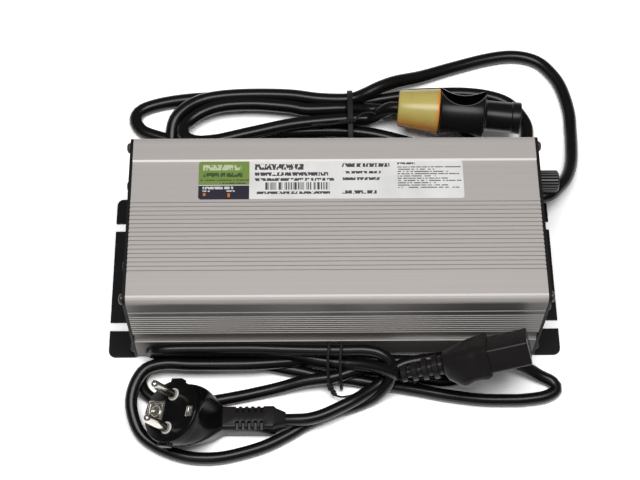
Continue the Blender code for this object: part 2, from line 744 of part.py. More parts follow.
def make_package(name, x, rear, top):
    """A moulded power package standing on three legs."""
    width, thick, tall = PACKAGE
    body = box(name, "resin", x, x + width, rear, rear + thick, top - tall, top)
    bm = bmesh.new()
    for leg in (-1, 0, 1):
        middle = x + width / 2.0 + leg * width / 3.2
        y = rear + thick / 2.0
        line = [(middle - 0.6, y - 0.3), (middle + 0.6, y - 0.3), (middle + 0.6, y + 0.3)]
        line += [(middle - 0.6, y + 0.3)]
        add_prism(bm, [line], "XY", STAND, top - tall + 1.0)
    cut(body, finish(bm, name + "_legs", "nickel"), "UNION")


def make_transformer():
    """A core with two windows, and the winding that fills them around the middle leg."""
    cx, cy = CORE_PLACE
    width, thick, tall = CORE
    leg = CORE_LEG / 2.0
    edge = width / 2.0 - CORE_LEG / 2.0
    low = STAND + CORE_YOKE
    high = STAND + tall - CORE_YOKE
    loops = [[(cx - width / 2.0, STAND), (cx + width / 2.0, STAND)]]
    loops[0] += [(cx + width / 2.0, STAND + tall), (cx - width / 2.0, STAND + tall)]
    for side in (-1, 1):
        near = cx + side * leg
        far = cx + side * edge
        loops.append([(near, low), (far, low), (far, high), (near, high)])
    front = cy - thick / 2.0
    prism("transformer_core", "ferrite", loops, "XZ", front, front + thick)
    build = edge - leg - 0.6
    inner = rounded(cx, cy, CORE_LEG + 2.0 * GAP, thick + 2.0 * GAP, 0.8, 3)
    outer = rounded(cx, cy, CORE_LEG + 2.0 * build, thick + 2.0 * build, 4.0, 5)
    prism("transformer_winding", "yellow_tape", [outer, inner], "XY", low + GAP, high - GAP, True)


def make_choke():
    """A ring core lying on the board with one wire wound around it."""
    centre = Vector((*TOROID_PLACE, 0.0))
    wire = TOROID_WIRE / 2.0
    inner = TOROID_INNER
    outer = TOROID_OUTER
    low = STAND + TOROID_WIRE + 2.0 * GAP
    high = low + TOROID_TALL
    outline = [circle(centre.x, centre.y, outer, 32), circle(centre.x, centre.y, inner, 32)]
    prism("choke_core", "ferrite", outline, "XY", low, high, smooth=True)
    turns = 15
    steps = 16
    middle = (inner + outer) / 2.0
    half_width = (outer - inner) / 2.0 + GAP + wire
    half_height = (high - low) / 2.0 + GAP + wire
    points = []
    for i in range(turns * steps + 1):
        sweep = math.radians(330.0 * i / (turns * steps))
        roll = 2.0 * math.pi * i / steps
        edge = max(abs(math.cos(roll)), abs(math.sin(roll)))
        reach = middle + half_width * math.cos(roll) / edge
        lift = (low + high) / 2.0 + half_height * math.sin(roll) / edge
        points.append((centre.x + reach * math.cos(sweep), centre.y + reach * math.sin(sweep), lift))
    tube("choke_winding", "copper", points, TOROID_WIRE, 1)


def tube(name, key, points, diameter, resolution=3):
    """A round cord or wire through the points, as a curve with flat closed ends."""
    curve = bpy.data.curves.new(name, "CURVE")
    curve.dimensions = "3D"
    curve.bevel_depth = diameter / 2.0 * MM
    curve.bevel_resolution = resolution
    curve.use_fill_caps = True
    spline = curve.splines.new("POLY")
    spline.points.add(len(points) - 1)
    for point, place_mm in zip(spline.points, points):
        point.co = (place_mm[0] * MM, place_mm[1] * MM, place_mm[2] * MM, 1.0)
    curve.materials.append(material(key))
    made = bpy.data.objects.new(name, curve)
    bpy.context.scene.collection.objects.link(made)
    return made


def make_capacitor(name, x, y, diameter, tall):
    """An upright can with the rolled groove that such cans have near their foot."""
    radius = diameter / 2.0
    line = [(0.0, 0.0), (0.0, radius - 0.6), (0.6, radius), (2.4, radius), (3.2, radius - 0.7)]
    line += [(4.0, radius), (tall - 0.8, radius), (tall, radius - 0.8), (tall, 0.0)]
    turned(name, "capacitor", line, (x, y, STAND), (0.0, 0.0, 1.0), 28)


make_board()
make_heat_bar()
make_transformer()
make_choke()
make_capacitor("bulk_capacitor", *BULK_PLACE, BULK_DIAMETER, BULK_TALL)
make_capacitor("output_capacitor", *OUTPUT_CAN_PLACE, OUTPUT_CAN_DIAMETER, OUTPUT_CAN_TALL)


# Mains inlet: a moulded socket with three blades, held by two screws

INLET_SEAT = PLATE_OUT + SEAT


def inlet_cavity_outline():
    """The mouth of the socket: a rectangle with its two upper corners cut off."""
    w = INLET_CAVITY_WIDTH / 2.0
    h = INLET_CAVITY_HEIGHT / 2.0
    c = 5.0
    line = [(-w, -h), (w, -h), (w, h - c), (w - c, h), (-w + c, h), (-w, h - c)]
    return [(INLET_Y + y, INLET_Z + z) for y, z in line]


def make_inlet():
    front = INLET_SEAT + INLET_FLANGE_THICK
    flange = rounded(INLET_Y, INLET_Z, INLET_FLANGE, INLET_FLANGE_HEIGHT, 5.0)
    holes = [circle(y, z, SCREW_SHANK / 2.0 + GAP, 16) for y, z in inlet_screw_places()]
    socket = prism("inlet_socket", "black_plastic", [flange] + holes, "YZ", INLET_SEAT, front)
    body = rounded(INLET_Y, INLET_Z, INLET_WIDTH, INLET_HEIGHT, 2.0)
    back = INLET_SEAT - INLET_DEPTH
    block = prism("inlet_block", "black_plastic", [body], "YZ", back, INLET_SEAT + 1.0)
    cut(socket, block, "UNION")
    floor = front - INLET_CAVITY_DEPTH
    mouth = prism("inlet_mouth", "black_plastic", [inlet_cavity_outline()], "YZ", floor, front + 1.0)
    cut(socket, mouth)
    bm = bmesh.new()
    for name, y, z in inlet_pin_places():
        outline = rounded(y, z, 2.0 + 2.0 * GAP, 4.0 + 2.0 * GAP, 0.3, 2)
        add_prism(bm, [outline], "YZ", back - 1.0, floor + 1.0)
    cut(socket, finish(bm, "inlet_pin_holes", "black_plastic"))
    for name, y, z in inlet_pin_places():
        make_blade(name, y, z, back - 8.0, front - 2.5)
    make_screws("inlet_screw", inlet_screw_places(), 1, front + SEAT, SCREW_LENGTH)


def inlet_pin_places():
    spread = INLET_PIN_SPREAD / 2.0
    return [
        ("inlet_live_pin", INLET_Y - spread, INLET_Z - 2.0),
        ("inlet_neutral_pin", INLET_Y + spread, INLET_Z - 2.0),
        ("inlet_earth_pin", INLET_Y, INLET_Z + 2.0),
    ]


def make_blade(name, y, z, back, front):
    """A flat contact blade, 2 by 4 mm, with a pointed tip and a thin tab behind."""
    bm = bmesh.new()
    rings = []
    for x, wide, tall in ((back, 0.8, 4.0), (back + 8.0, 0.8, 4.0), (back + 8.2, 2.0, 4.0),
                          (front - 1.2, 2.0, 4.0), (front, 1.0, 3.0)):
        w = wide / 2.0
        h = tall / 2.0
        rings.append([Vector((x, y + p, z + q)) for p, q in ((-w, -h), (w, -h), (w, h), (-w, h))])
    add_loft(bm, rings)
    finish(bm, name, "nickel")


make_inlet()


# Fuse holder, its knurled cap and the glass fuse in it

def make_fuse():
    seat = PLATE_OUT + SEAT
    centre = (seat, FUSE_Y, FUSE_Z)
    barrel = FUSE_BARREL / 2.0
    bore = 3.4
    back = FUSE_DEPTH
    line = [(-back, 0.0), (-back, barrel - 2.0), (-back + 8.0, barrel), (0.0, barrel)]
    line += [(0.0, FUSE_FLANGE / 2.0), (FUSE_FLANGE_THICK - 0.5, FUSE_FLANGE / 2.0)]
    line += [(FUSE_FLANGE_THICK, FUSE_FLANGE / 2.0 - 0.5), (FUSE_FLANGE_THICK, bore)]
    line += [(-back + 4.0, bore), (-back + 4.0, 0.0)]
    turned("fuse_holder", "black_plastic", line, centre, (1.0, 0.0, 0.0), 28)
    make_fuse_cap(seat + FUSE_FLANGE_THICK + SEAT)
    start = seat - back + 4.0 + SEAT
    line = [(0.0, 0.0), (0.0, 2.6), (5.0, 2.6), (5.0, 2.4), (15.0, 2.4), (15.0, 2.6)]
    line += [(20.0, 2.6), (20.0, 0.0)]
    turned("fuse", "glass", line, (start, FUSE_Y, FUSE_Z), (1.0, 0.0, 0.0), 16)


def make_fuse_cap(seat):
    """A round cap with flutes for the fingers, and a stem that presses on the fuse."""
    teeth = 20
    outer = FUSE_CAP / 2.0
    ring = []
    for i in range(teeth * 4):
        radius = outer if i % 4 in (0, 1) else outer - 0.55
        turn = 2.0 * math.pi * i / (teeth * 4)
        ring.append((radius * math.cos(turn), radius * math.sin(turn)))
    bm = bmesh.new()
    turn = frame_along((1.0, 0.0, 0.0))
    rings = []
    stages = ((0.0, 0.97), (0.6, 1.0), (FUSE_CAP_LENGTH - 1.2, 1.0), (FUSE_CAP_LENGTH, 0.86))
    for along, share in stages:
        outline = [(x * share, y * share) for x, y in ring]
        rings.append(section(outline, (seat + along, FUSE_Y, FUSE_Z), turn))
    add_loft(bm, rings)
    cap = finish(bm, "fuse_cap", "black_plastic")
    stem = [(-5.6, 0.0), (-5.6, 2.6), (1.0, 2.6), (1.0, 0.0)]
    centre = (seat, FUSE_Y, FUSE_Z)
    cut(cap, turned("fuse_cap_stem", "brass", stem, centre, (1.0, 0.0, 0.0), 16), "UNION")


make_fuse()


# Two lamps beside each other above the inlet

def make_lamp(name, key, y):
    base = PLATE_IN - 1.0 - SEAT
    tip = PLATE_OUT + LAMP_PROUD - base
    radius = LAMP_DIAMETER / 2.0
    line = [(-6.0, 0.0), (-6.0, radius + 0.4), (PLATE_IN - SEAT - base, radius + 0.4)]
    line += [(PLATE_IN - SEAT - base, radius), (tip - 1.2, radius), (tip - 0.5, radius * 0.8)]
    line += [(tip, radius * 0.35), (tip, 0.0)]
    turned(name, key, line, (base, y, LAMP_Z), (1.0, 0.0, 0.0), 20)


make_lamp("red_lamp", "red_lamp", LAMP_FIRST_Y)
make_lamp("green_lamp", "green_lamp", LAMP_FIRST_Y + LAMP_SPACING)


# Output lead: strain relief, hank, loose loops and tie

def strain_relief():
    """The collar that holds the output lead in the end plate, clipped in from outside."""
    bore = LEAD_DIAMETER / 2.0 + GAP
    thick = PLATE_THICK + 2.0 * SEAT
    neck = LEAD_HOLE / 2.0 - GAP
    line = [(-thick - 3.0, bore), (-thick - 3.0, neck - 0.4), (-thick, neck + 0.9), (-thick, neck)]
    line += [(0.0, neck), (0.0, neck + 1.3), (1.2, neck + 1.3), (1.6, RELIEF_DIAMETER / 2.0)]
    line += [(RELIEF_REACH - 0.6, RELIEF_DIAMETER / 2.0 - 0.2), (RELIEF_REACH, bore + 0.4)]
    line += [(RELIEF_REACH, bore)]
    bm = bmesh.new()
    turn = frame_along((1.0, 0.0, 0.0))
    rings = []
    for along, radius in line:
        centre = (PLATE_OUT + SEAT + along, LEAD_Y, LEAD_Z)
        rings.append([bm.verts.new(p) for p in section(circle(0.0, 0.0, radius), centre, turn)])
    for first, second in zip(rings, rings[1:] + rings[:1]):
        join_rings(bm, first, second)
    finish(bm, "lead_relief", "black_plastic", smooth=True)


def smooth_route(points, step):
    """Points about one step apart on a curve through the chosen ones."""
    ends = [2.0 * Vector(points[0]) - Vector(points[1])]
    ends += [Vector(point) for point in points]
    ends.append(2.0 * Vector(points[-1]) - Vector(points[-2]))
    found = []
    for i in range(1, len(ends) - 2):
        p0, p1, p2, p3 = ends[i - 1:i + 3]
        count = max(1, round((p2 - p1).length / step))
        for k in range(count):
            t = k / count
            bend = 2.0 * p0 - 5.0 * p1 + 4.0 * p2 - p3
            twist = 3.0 * p1 - p0 - 3.0 * p2 + p3
            found.append((2.0 * p1 + (p2 - p0) * t + bend * t * t + twist * t * t * t) / 2.0)
    found.append(ends[-2])
    return found


def hank_gap(point, ends):
    """Distance in plan from a point to the band around two circles, and the way straight out."""
    (x0, y0, r0), (x1, y1, r1) = ends
    along = Vector((x1 - x0, y1 - y0))
    best = None
    for i in range(61):
        share = i / 60.0
        middle = Vector((x0, y0)) + along * share
        away = Vector((point.x, point.y)) - middle
        distance = away.length - (r0 + (r1 - r0) * share)
        if best is None or distance < best[0]:
            best = (distance, away.normalized())
    return best


def meets_hank(point, following, radius, ends):
    """True where the flat end of a tube would come closer to the hank than the gap."""
    distance, out = hank_gap(point, ends)
    heading = (following - point).normalized()
    facing = heading.x * out.x + heading.y * out.y
    return distance < radius * math.sqrt(max(0.0, 1.0 - facing * facing)) + 1.4 * GAP


def lead_tube(name, points, diameter, hank=None):
    """A stretch of cord, which ends where it would run into its hank."""
    fine = smooth_route(points, 0.2)
    for point in fine:
        point.z = max(point.z, diameter / 2.0)
    if hank:
        while meets_hank(fine[0], fine[1], diameter / 2.0, hank):
            fine.pop(0)
        while meets_hank(fine[-1], fine[-2], diameter / 2.0, hank):
            fine.pop()
    picked = [fine[0]]
    heading = (fine[1] - fine[0]).normalized()
    for point, following in zip(fine[1:-3], fine[2:]):
        ahead = (following - point).normalized()
        if heading.angle(ahead) > math.radians(18.0) or (point - picked[-1]).length > 2.4 * diameter:
            picked.append(point)
            heading = ahead
    tube(name, "pvc", picked + [fine[-1]], diameter, 3)


LEAD_ROUTE = [
    (END - 6.5, LEAD_Y, LEAD_Z), (END + 5.5, LEAD_Y, LEAD_Z), (END + 14.5, LEAD_Y + 0.5, LEAD_Z),
    (135.0, 50.0, 17.5),
    (141.0, 59.0, 14.0), (145.0, 71.0, 10.0), (147.0, 85.0, 6.5), (148.0, 99.0, 4.0),
    (148.0, 112.0, 4.0), (145.0, 128.0, 4.0), (140.0, 139.0, 4.0), (131.0, 149.0, 4.0),
    (117.0, 153.0, 4.0), (100.0, 151.0, 4.0), (77.0, 144.0, 4.5), (57.0, 136.0, 7.0),
    (41.0, 129.5, 11.5), (30.0, 124.0, 13.2), (20.5, 119.0, 12.8),
]
OUTER_BEND = [
    (18.0, 86.5, 4.0), (40.0, 76.0, 4.0), (60.0, 68.5, 4.0), (75.0, 66.0, 4.0),
    (100.0, 66.0, 4.0), (115.0, 74.0, 4.0), (121.0, 96.0, 4.0), (118.0, 108.0, 4.0),
    (110.0, 118.0, 4.0), (98.0, 123.0, 4.0), (84.0, 125.0, 4.0), (69.0, 125.0, 4.0),
    (50.0, 124.0, 4.0), (31.0, 121.0, 4.0), (20.5, 119.3, 4.0),
]
INNER_BEND = [
    (23.0, 96.0, 4.0), (45.0, 90.0, 4.0), (70.0, 82.0, 4.0), (84.0, 86.0, 4.0),
    (84.0, 98.0, 4.0), (70.0, 107.0, 4.0), (50.0, 110.0, 5.0), (35.0, 111.5, 6.0),
    (23.5, 112.0, 6.5),
]
TAIL_ROUTE = [(23.0, 103.0, 10.5), (26.5, 103.0, 13.0), (31.5, 102.9, 19.0), (36.0, 102.7, 22.6)]


def slab(name, key, outline, height, grooves):
    """A hank of cord as one flat solid, with a groove under each tie."""
    hank = prism(name, key, [outline], "XY", 0.0, height)
    bm = bmesh.new()
    for low, high in grooves:
        line = [(low, -1.0), (high, -1.0), (high, TIE_GROOVE), (low, TIE_GROOVE)]
        add_prism(bm, [line], "XZ", -HALF * 4.0, HALF * 4.0)
    cut(hank, finish(bm, name + "_grooves", key))


def tie_ring(bm, place_x, width, y0, y1, height):
    """Adds one flat band around a hank, lying in its groove underneath."""
    low = TIE_GROOVE - SEAT - TIE_THICK
    clear = SEAT
    outer = rounded((y0 + y1) / 2.0, (low + height + clear + TIE_THICK) / 2.0,
                    y1 - y0 + 2.0 * (clear + TIE_THICK), height + clear + TIE_THICK - low, 1.0)
    inner = rounded((y0 + y1) / 2.0, (low + TIE_THICK + height + clear) / 2.0,
                    y1 - y0 + 2.0 * clear, height + clear - low - TIE_THICK, 0.3)
    add_prism(bm, [outer, inner], "YZ", place_x, place_x + width)


def connector_point(along):
    start = Vector(CONNECTOR_START)
    return start + (Vector(CONNECTOR_END) - start).normalized() * along


def make_output_lead():
    strain_relief()
    radius = (OUTPUT_HANK_REAR - OUTPUT_HANK_FRONT) / 2.0
    cy = OUTPUT_HANK_FRONT + radius
    left = OUTPUT_HANK_LEFT + radius
    right = OUTPUT_HANK_RIGHT - radius
    ends = ((left, cy, radius), (right, cy, radius))
    lead_tube("output_lead", LEAD_ROUTE, LEAD_DIAMETER, ends)
    outline = arc(right, cy, radius, -90.0, 90.0, 14)
    outline += arc(left, cy, radius, 90.0, 270.0, 14)
    groove = (OUTPUT_TIE_PLACE - GAP, OUTPUT_TIE_PLACE + OUTPUT_TIE_WIDTH + GAP)
    slab("output_hank", "pvc", outline, OUTPUT_HANK_HEIGHT, [groove])
    lead_tube("output_outer_bend", OUTER_BEND, LEAD_DIAMETER, ends)
    lead_tube("output_inner_bend", INNER_BEND, LEAD_DIAMETER, ends)
    entry = [tuple(connector_point(along)) for along in (-0.5, 4.0, 8.0)]
    lead_tube("output_tail", TAIL_ROUTE + entry, LEAD_DIAMETER, ends)
    bm = bmesh.new()
    half = math.sqrt(radius ** 2 - max(0.0, OUTPUT_TIE_PLACE - right) ** 2)
    tie_ring(bm, OUTPUT_TIE_PLACE, OUTPUT_TIE_WIDTH, cy - half, cy + half, OUTPUT_HANK_HEIGHT)
    finish(bm, "output_tie", "black_plastic")


make_output_lead()


# Output connector: amber bushing, waisted grip body and recessed nose, nose to the right

def make_connector():
    axis = Vector(CONNECTOR_END) - Vector(CONNECTOR_START)
    total = axis.length
    bore = LEAD_DIAMETER / 2.0 + GAP
    small = BUSHING_SMALL / 2.0
    large = BUSHING_LARGE / 2.0
    line = [(0.0, bore), (0.0, small - 1.5), (1.0, small), (BUSHING_LENGTH - 1.0, large)]
    line += [(BUSHING_LENGTH, large - 0.3), (BUSHING_LENGTH, bore)]
    sleeve("connector_bushing", "amber", line, connector_point(0.0), axis, 36)
    start = BUSHING_LENGTH + SEAT
    radius = BODY_DIAMETER / 2.0
    nose_start = BODY_LENGTH + SEAT
    line = [(0.0, 0.0), (0.0, radius - 0.8), (1.0, radius), (BODY_LENGTH - 1.2, radius)]
    line += [(BODY_LENGTH, radius - 1.0), (BODY_LENGTH, 0.0)]
    body = turned("connector_body", "black_plastic", line, connector_point(start), axis, 48)
    cut(body, grip_cutter(axis, start, radius))
    nose = NOSE_DIAMETER / 2.0
    length = total - start - nose_start
    post = NOSE_POST / 2.0
    line = [(0.0, 0.0), (0.0, nose), (length - 0.6, nose), (length, nose - 0.5)]
    line += [(length, nose - 2.0), (length - NOSE_RECESS, nose - 2.0)]
    line += [(length - NOSE_RECESS, post), (length - 1.0, post), (length - 1.0, 0.0)]
    place_at = connector_point(start + nose_start)
    front = turned("connector_nose", "black_plastic", line, place_at, axis, 36)
    bm = bmesh.new()
    turn = frame_along(axis)
    for quarter in range(2):
        spin = Matrix.Rotation(math.radians(90.0 + 180.0 * quarter), 3, "Z")
        out = nose + LUG_HEIGHT
        outline = [(nose - 1.0, -2.0), (out, -2.0), (out, 2.0), (nose - 1.0, 2.0)]
        ends = [section(outline, connector_point(start + nose_start + along), turn @ spin)
                for along in (length - LUG_LENGTH, length - 1.0)]
        add_loft(bm, ends)
    cut(front, finish(bm, "connector_lugs", "black_plastic"), "UNION")


def sleeve(name, key, profile, centre, direction, count):
    """A closed ring-shaped solid of revolution from (distance along, radius) points."""
    bm = bmesh.new()
    turn = frame_along(direction)
    rings = []
    for along, radius in profile:
        rings.append([
            bm.verts.new(Vector(centre) + turn @ Vector((x, y, along)))
            for x, y in circle(0.0, 0.0, radius, count)
        ])
    for first, second in zip(rings, rings[1:] + rings[:1]):
        join_rings(bm, first, second)
    return finish(bm, name, key, smooth=True)


def grip_cutter(axis, start, radius):
    """Two rollers that press a waist into the body, for finger and thumb."""
    along = axis.normalized()
    up = Vector((0.0, 0.0, 1.0))
    up = (up - along * up.dot(along)).normalized()
    side = along.cross(up)
    middle = Vector(connector_point(start + BODY_LENGTH / 2.0))
    reach = radius + 2.0
    bm = bmesh.new()
    for spin in (WAIST_TURN, WAIST_TURN + 180.0):
        out = up * math.cos(math.radians(spin)) + side * math.sin(math.radians(spin))
        across = along.cross(out)
        centre = middle + out * (radius - WAIST_DEPTH + WAIST_RADIUS)
        outline = circle(0.0, 0.0, WAIST_RADIUS, 96)
        add_loft(bm, [
            [centre + along * x + out * y + across * place for x, y in outline]
            for place in (-reach, reach)
        ])
    return finish(bm, "connector_grip", "black_plastic")


make_connector()


# Mains lead: hank, loose loops and wire tie

PLUG_RUN = [
    (-22.0, -94.0, 10.9), (-16.0, -93.8, 11.3), (-9.0, -92.0, 11.3), (-2.0, -89.0, 11.3),
    (8.0, -84.0, 11.3), (14.0, -80.0, 11.3),
]
OUTER_LOOP = [
    (-96.0, -57.5, 12.5), (-107.0, -61.6, 11.0), (-112.6, -71.0, 8.0), (-114.0, -83.0, 4.5),
    (-109.0, -97.8, 3.5), (-99.0, -106.5, 3.5), (-85.0, -112.0, 3.5), (-73.0, -113.5, 3.5),
    (-60.0, -112.4, 3.5), (-41.3, -107.2, 3.5), (-28.0, -100.8, 3.5), (-15.5, -93.4, 3.5),
    (0.0, -86.5, 3.5), (8.0, -84.0, 3.5),
]
INNER_LOOP = [
    (-95.0, -63.0, 3.5), (-102.0, -68.0, 3.5), (-103.5, -75.0, 3.5), (-99.0, -80.5, 3.5),
    (-89.0, -82.0, 3.5), (-77.0, -81.0, 3.5), (-64.0, -79.0, 3.5), (-51.0, -76.5, 3.5),
    (-34.0, -73.0, 4.0),
]
SOCKET_LOOP = [
    (33.0, -61.5, 12.5), (48.0, -60.0, 13.5), (58.0, -59.0, 14.0), (75.0, -57.0, 14.0),
    (92.0, -58.0, 12.0), (107.0, -62.0, 8.0), (116.0, -66.0, 4.5), (123.0, -69.5, 3.5),
    (124.5, -74.5, 3.5), (118.0, -78.3, 3.5), (107.0, -80.0, 3.5), (98.0, -80.3, 3.5),
    (84.0, -80.0, 3.5), (71.0, -78.5, 3.5), (59.0, -76.5, 3.5), (47.0, -74.0, 3.5),
    (33.0, -71.5, 3.5),
]


def hank_width(x):
    """The front and rear sides of the mains hank at one place along it."""
    x0, y0, r0 = MAINS_HANK_LEFT
    x1, y1, r1 = MAINS_HANK_RIGHT
    share = (x - x0) / (x1 - x0)
    middle = y0 + (y1 - y0) * share
    radius = r0 + (r1 - r0) * share
    return middle - radius, middle + radius


def make_mains_lead():
    ends = (MAINS_HANK_LEFT, MAINS_HANK_RIGHT)
    (x0, y0, r0), (x1, y1, r1) = ends
    lean = math.degrees(math.atan2(y1 - y0, x1 - x0))
    spread = math.degrees(math.acos((r0 - r1) / math.hypot(x1 - x0, y1 - y0)))
    outline = arc(x1, y1, r1, lean - spread, lean + spread, 16)
    outline += arc(x0, y0, r0, lean + spread, lean + 360.0 - spread, 10)
    grooves = [(x - GAP, x + MAINS_TIE_WIDTH + GAP) for x in MAINS_TIE_PLACES]
    slab("mains_hank", "pvc", outline, MAINS_HANK_HEIGHT, grooves)
    start = Vector(NECK_START) + Vector(NECK_AXIS).normalized() * (NECK_LENGTH + NECK_TIP + SEAT)
    lead_tube("mains_lead", [tuple(start)] + PLUG_RUN, MAINS_DIAMETER, ends)
    lead_tube("mains_outer_loop", OUTER_LOOP, MAINS_DIAMETER, ends)
    lead_tube("mains_inner_loop", INNER_LOOP, MAINS_DIAMETER, ends)
    lead_tube("mains_socket_loop", SOCKET_LOOP, MAINS_DIAMETER, ends)
    make_wire_tie()


def make_wire_tie():
    """A plastic-coated wire wound twice around the hank and twisted on top."""
    bm = bmesh.new()
    for x in MAINS_TIE_PLACES:
        front, rear = hank_width(x + MAINS_TIE_WIDTH / 2.0)
        tie_ring(bm, x, MAINS_TIE_WIDTH, front - 0.1, rear + 0.1, MAINS_HANK_HEIGHT)
    tie = finish(bm, "mains_tie", "black_plastic")
    first, last = MAINS_TIE_PLACES
    front, rear = hank_width(last)
    low = MAINS_HANK_HEIGHT + SEAT
    y = rear - 5.0
    bridge = box("mains_tie_bridge", "black_plastic", first + 0.5, last + 0.8, y - 0.7, y + 0.7,
                 low, low + TIE_THICK)
    cut(tie, bridge, "UNION")


make_mains_lead()


# Plug: a round pin face that turns into a square neck with relief slots

def plug_frame():
    """The plug's own axes: across its two pins, across its earth contacts, and along the pins."""
    along = Vector(PLUG_PINS).normalized()
    across = Vector(PLUG_ACROSS)
    across = (across - along * across.dot(along)).normalized()
    upward = along.cross(across)
    return across, upward, along


def plug_point(across, upward, along):
    axes = plug_frame()
    return Vector(PLUG_FACE) + axes[0] * across + axes[1] * upward + axes[2] * along


def ring_at(centre, side, up, width, height, radius):
    centre = Vector(centre)
    return [centre + side * x + up * y for x, y in rounded(0.0, 0.0, width, height, radius, 5)]


def make_plug():
    side, up, along = plug_frame()
    size = PLUG_DIAMETER
    neck = Vector(NECK_START)
    neck_axis = Vector(NECK_AXIS).normalized()
    neck_side = neck_axis.cross(Vector((0.0, 0.0, 1.0))).normalized()
    neck_up = neck_side.cross(neck_axis)
    round_corner = size / 2.0 * 0.97
    rings = [
        ring_at(plug_point(0.0, 0.0, 0.0), side, up, size - 1.2, size - 1.2, round_corner - 0.6),
        ring_at(plug_point(0.0, 0.0, -0.6), side, up, size, size, round_corner),
        ring_at(plug_point(0.0, 0.0, -PLUG_RIM), side, up, size, size, round_corner),
    ]
    for share in (0.35, 0.65, 0.85):
        centre = plug_point(0.0, 0.0, -PLUG_RIM).lerp(neck, share)
        lean = side.lerp(neck_side, share).normalized()
        rise = up.lerp(neck_up, share).normalized()
        ease = share * share * (3.0 - 2.0 * share)
        width = size + (NECK_WIDTH - size) * ease
        height = size + (NECK_HEIGHT - size) * share ** 0.7
        rings.append(ring_at(centre, lean, rise, width, height, min(width, height) * 0.35))
    tip = MAINS_DIAMETER + 1.6
    stages = ((0.0, NECK_WIDTH, NECK_HEIGHT, 2.5), (NECK_LENGTH, NECK_WIDTH, NECK_HEIGHT, 2.5))
    stages += ((NECK_LENGTH + 1.2, NECK_WIDTH - 1.6, NECK_HEIGHT - 1.2, 3.0),)
    stages += ((NECK_LENGTH + NECK_TIP, tip, tip, tip * 0.47),)
    for step, width, height, corner in stages:
        rings.append(ring_at(neck + neck_axis * step, neck_side, neck_up, width, height, corner))
    bm = bmesh.new()
    add_loft(bm, rings)
    plug = finish(bm, "plug_body", "black_plastic", smooth=True)
    cut_relief_slots(plug, neck, neck_axis)
    holes = bmesh.new()
    for place_across in (-PIN_SPACING / 2.0, PIN_SPACING / 2.0):
        centre = plug_point(place_across, 0.0, 0.0)
        add_turned(holes, peg(PIN_DIAMETER / 2.0 + GAP, 9.0, 2.0), centre, along, 20)
    opening = EARTH_FRAME + 2.0 * GAP
    outline = rounded(0.0, -EARTH_PLACE, opening, opening, 1.5)
    add_loft(holes, [face_ring(outline, -9.0), face_ring(outline, 2.0)])
    outline = rounded(0.0, CLIP_PLACE, CLIP_WIDTH + 2.0 * GAP, CLIP_DEPTH + 2.0 * GAP, 0.5)
    add_loft(holes, [face_ring(outline, -4.0), face_ring(outline, 2.0)])
    cut(plug, finish(holes, "plug_holes", "black_plastic"))
    for number, place_across in enumerate((-PIN_SPACING / 2.0, PIN_SPACING / 2.0), 1):
        line = peg(PIN_DIAMETER / 2.0, 9.0 - GAP, PIN_LENGTH, 1.2)
        turned(f"plug_pin_{number}", "nickel", line, plug_point(place_across, 0.0, 0.0), along, 20)
    make_earth_contacts()


def peg(radius, back, front, chamfer=0.0):
    line = [(-back, 0.0), (-back, radius), (front - chamfer, radius)]
    if chamfer:
        line += [(front - chamfer * 0.3, radius - chamfer * 0.5), (front, radius - chamfer)]
    line.append((front, 0.0))
    return line


def face_ring(outline, along):
    side, up, axis = plug_frame()
    return [plug_point(x, y, along) for x, y in outline]


def make_earth_contacts():
    """The sheet socket for an earth pin, and the spring clip for side contacts."""
    outline = rounded(0.0, -EARTH_PLACE, EARTH_FRAME, EARTH_FRAME, 1.2)
    bm = bmesh.new()
    add_loft(bm, [face_ring(outline, -8.5), face_ring(outline, 0.4)])
    frame = finish(bm, "plug_earth_socket", "nickel")
    bm = bmesh.new()
    hole = circle(0.0, -EARTH_PLACE, EARTH_HOLE / 2.0, 20)
    add_loft(bm, [face_ring(hole, -7.0), face_ring(hole, 2.0)])
    cut(frame, finish(bm, "plug_earth_hole", "nickel"))
    outline = rounded(0.0, CLIP_PLACE, CLIP_WIDTH, CLIP_DEPTH, 0.4)
    bm = bmesh.new()
    add_loft(bm, [face_ring(outline, -3.6), face_ring(outline, 0.5)])
    finish(bm, "plug_earth_clip", "nickel")


def cut_relief_slots(plug, neck, neck_axis):
    """Five slots from each side of the neck, which let it flex."""
    bm = bmesh.new()
    for number in range(5):
        x = neck.x + 7.5 + number * 3.4
        for turn in (-1, 1):
            y = neck.y + neck_axis.y * (x - neck.x)
            low = min(y + turn * 2.6, y + turn * 12.0)
            line = [(x, low), (x + 1.7, low), (x + 1.7, low + 9.4), (x, low + 9.4)]
            add_prism(bm, [line], "XY", -2.0, NECK_START[2] + NECK_HEIGHT)
    cut(plug, finish(bm, "plug_relief_slots", "black_plastic"))


make_plug()


# Socket connector of the mains lead: mating part, grip and ribbed relief in one moulding

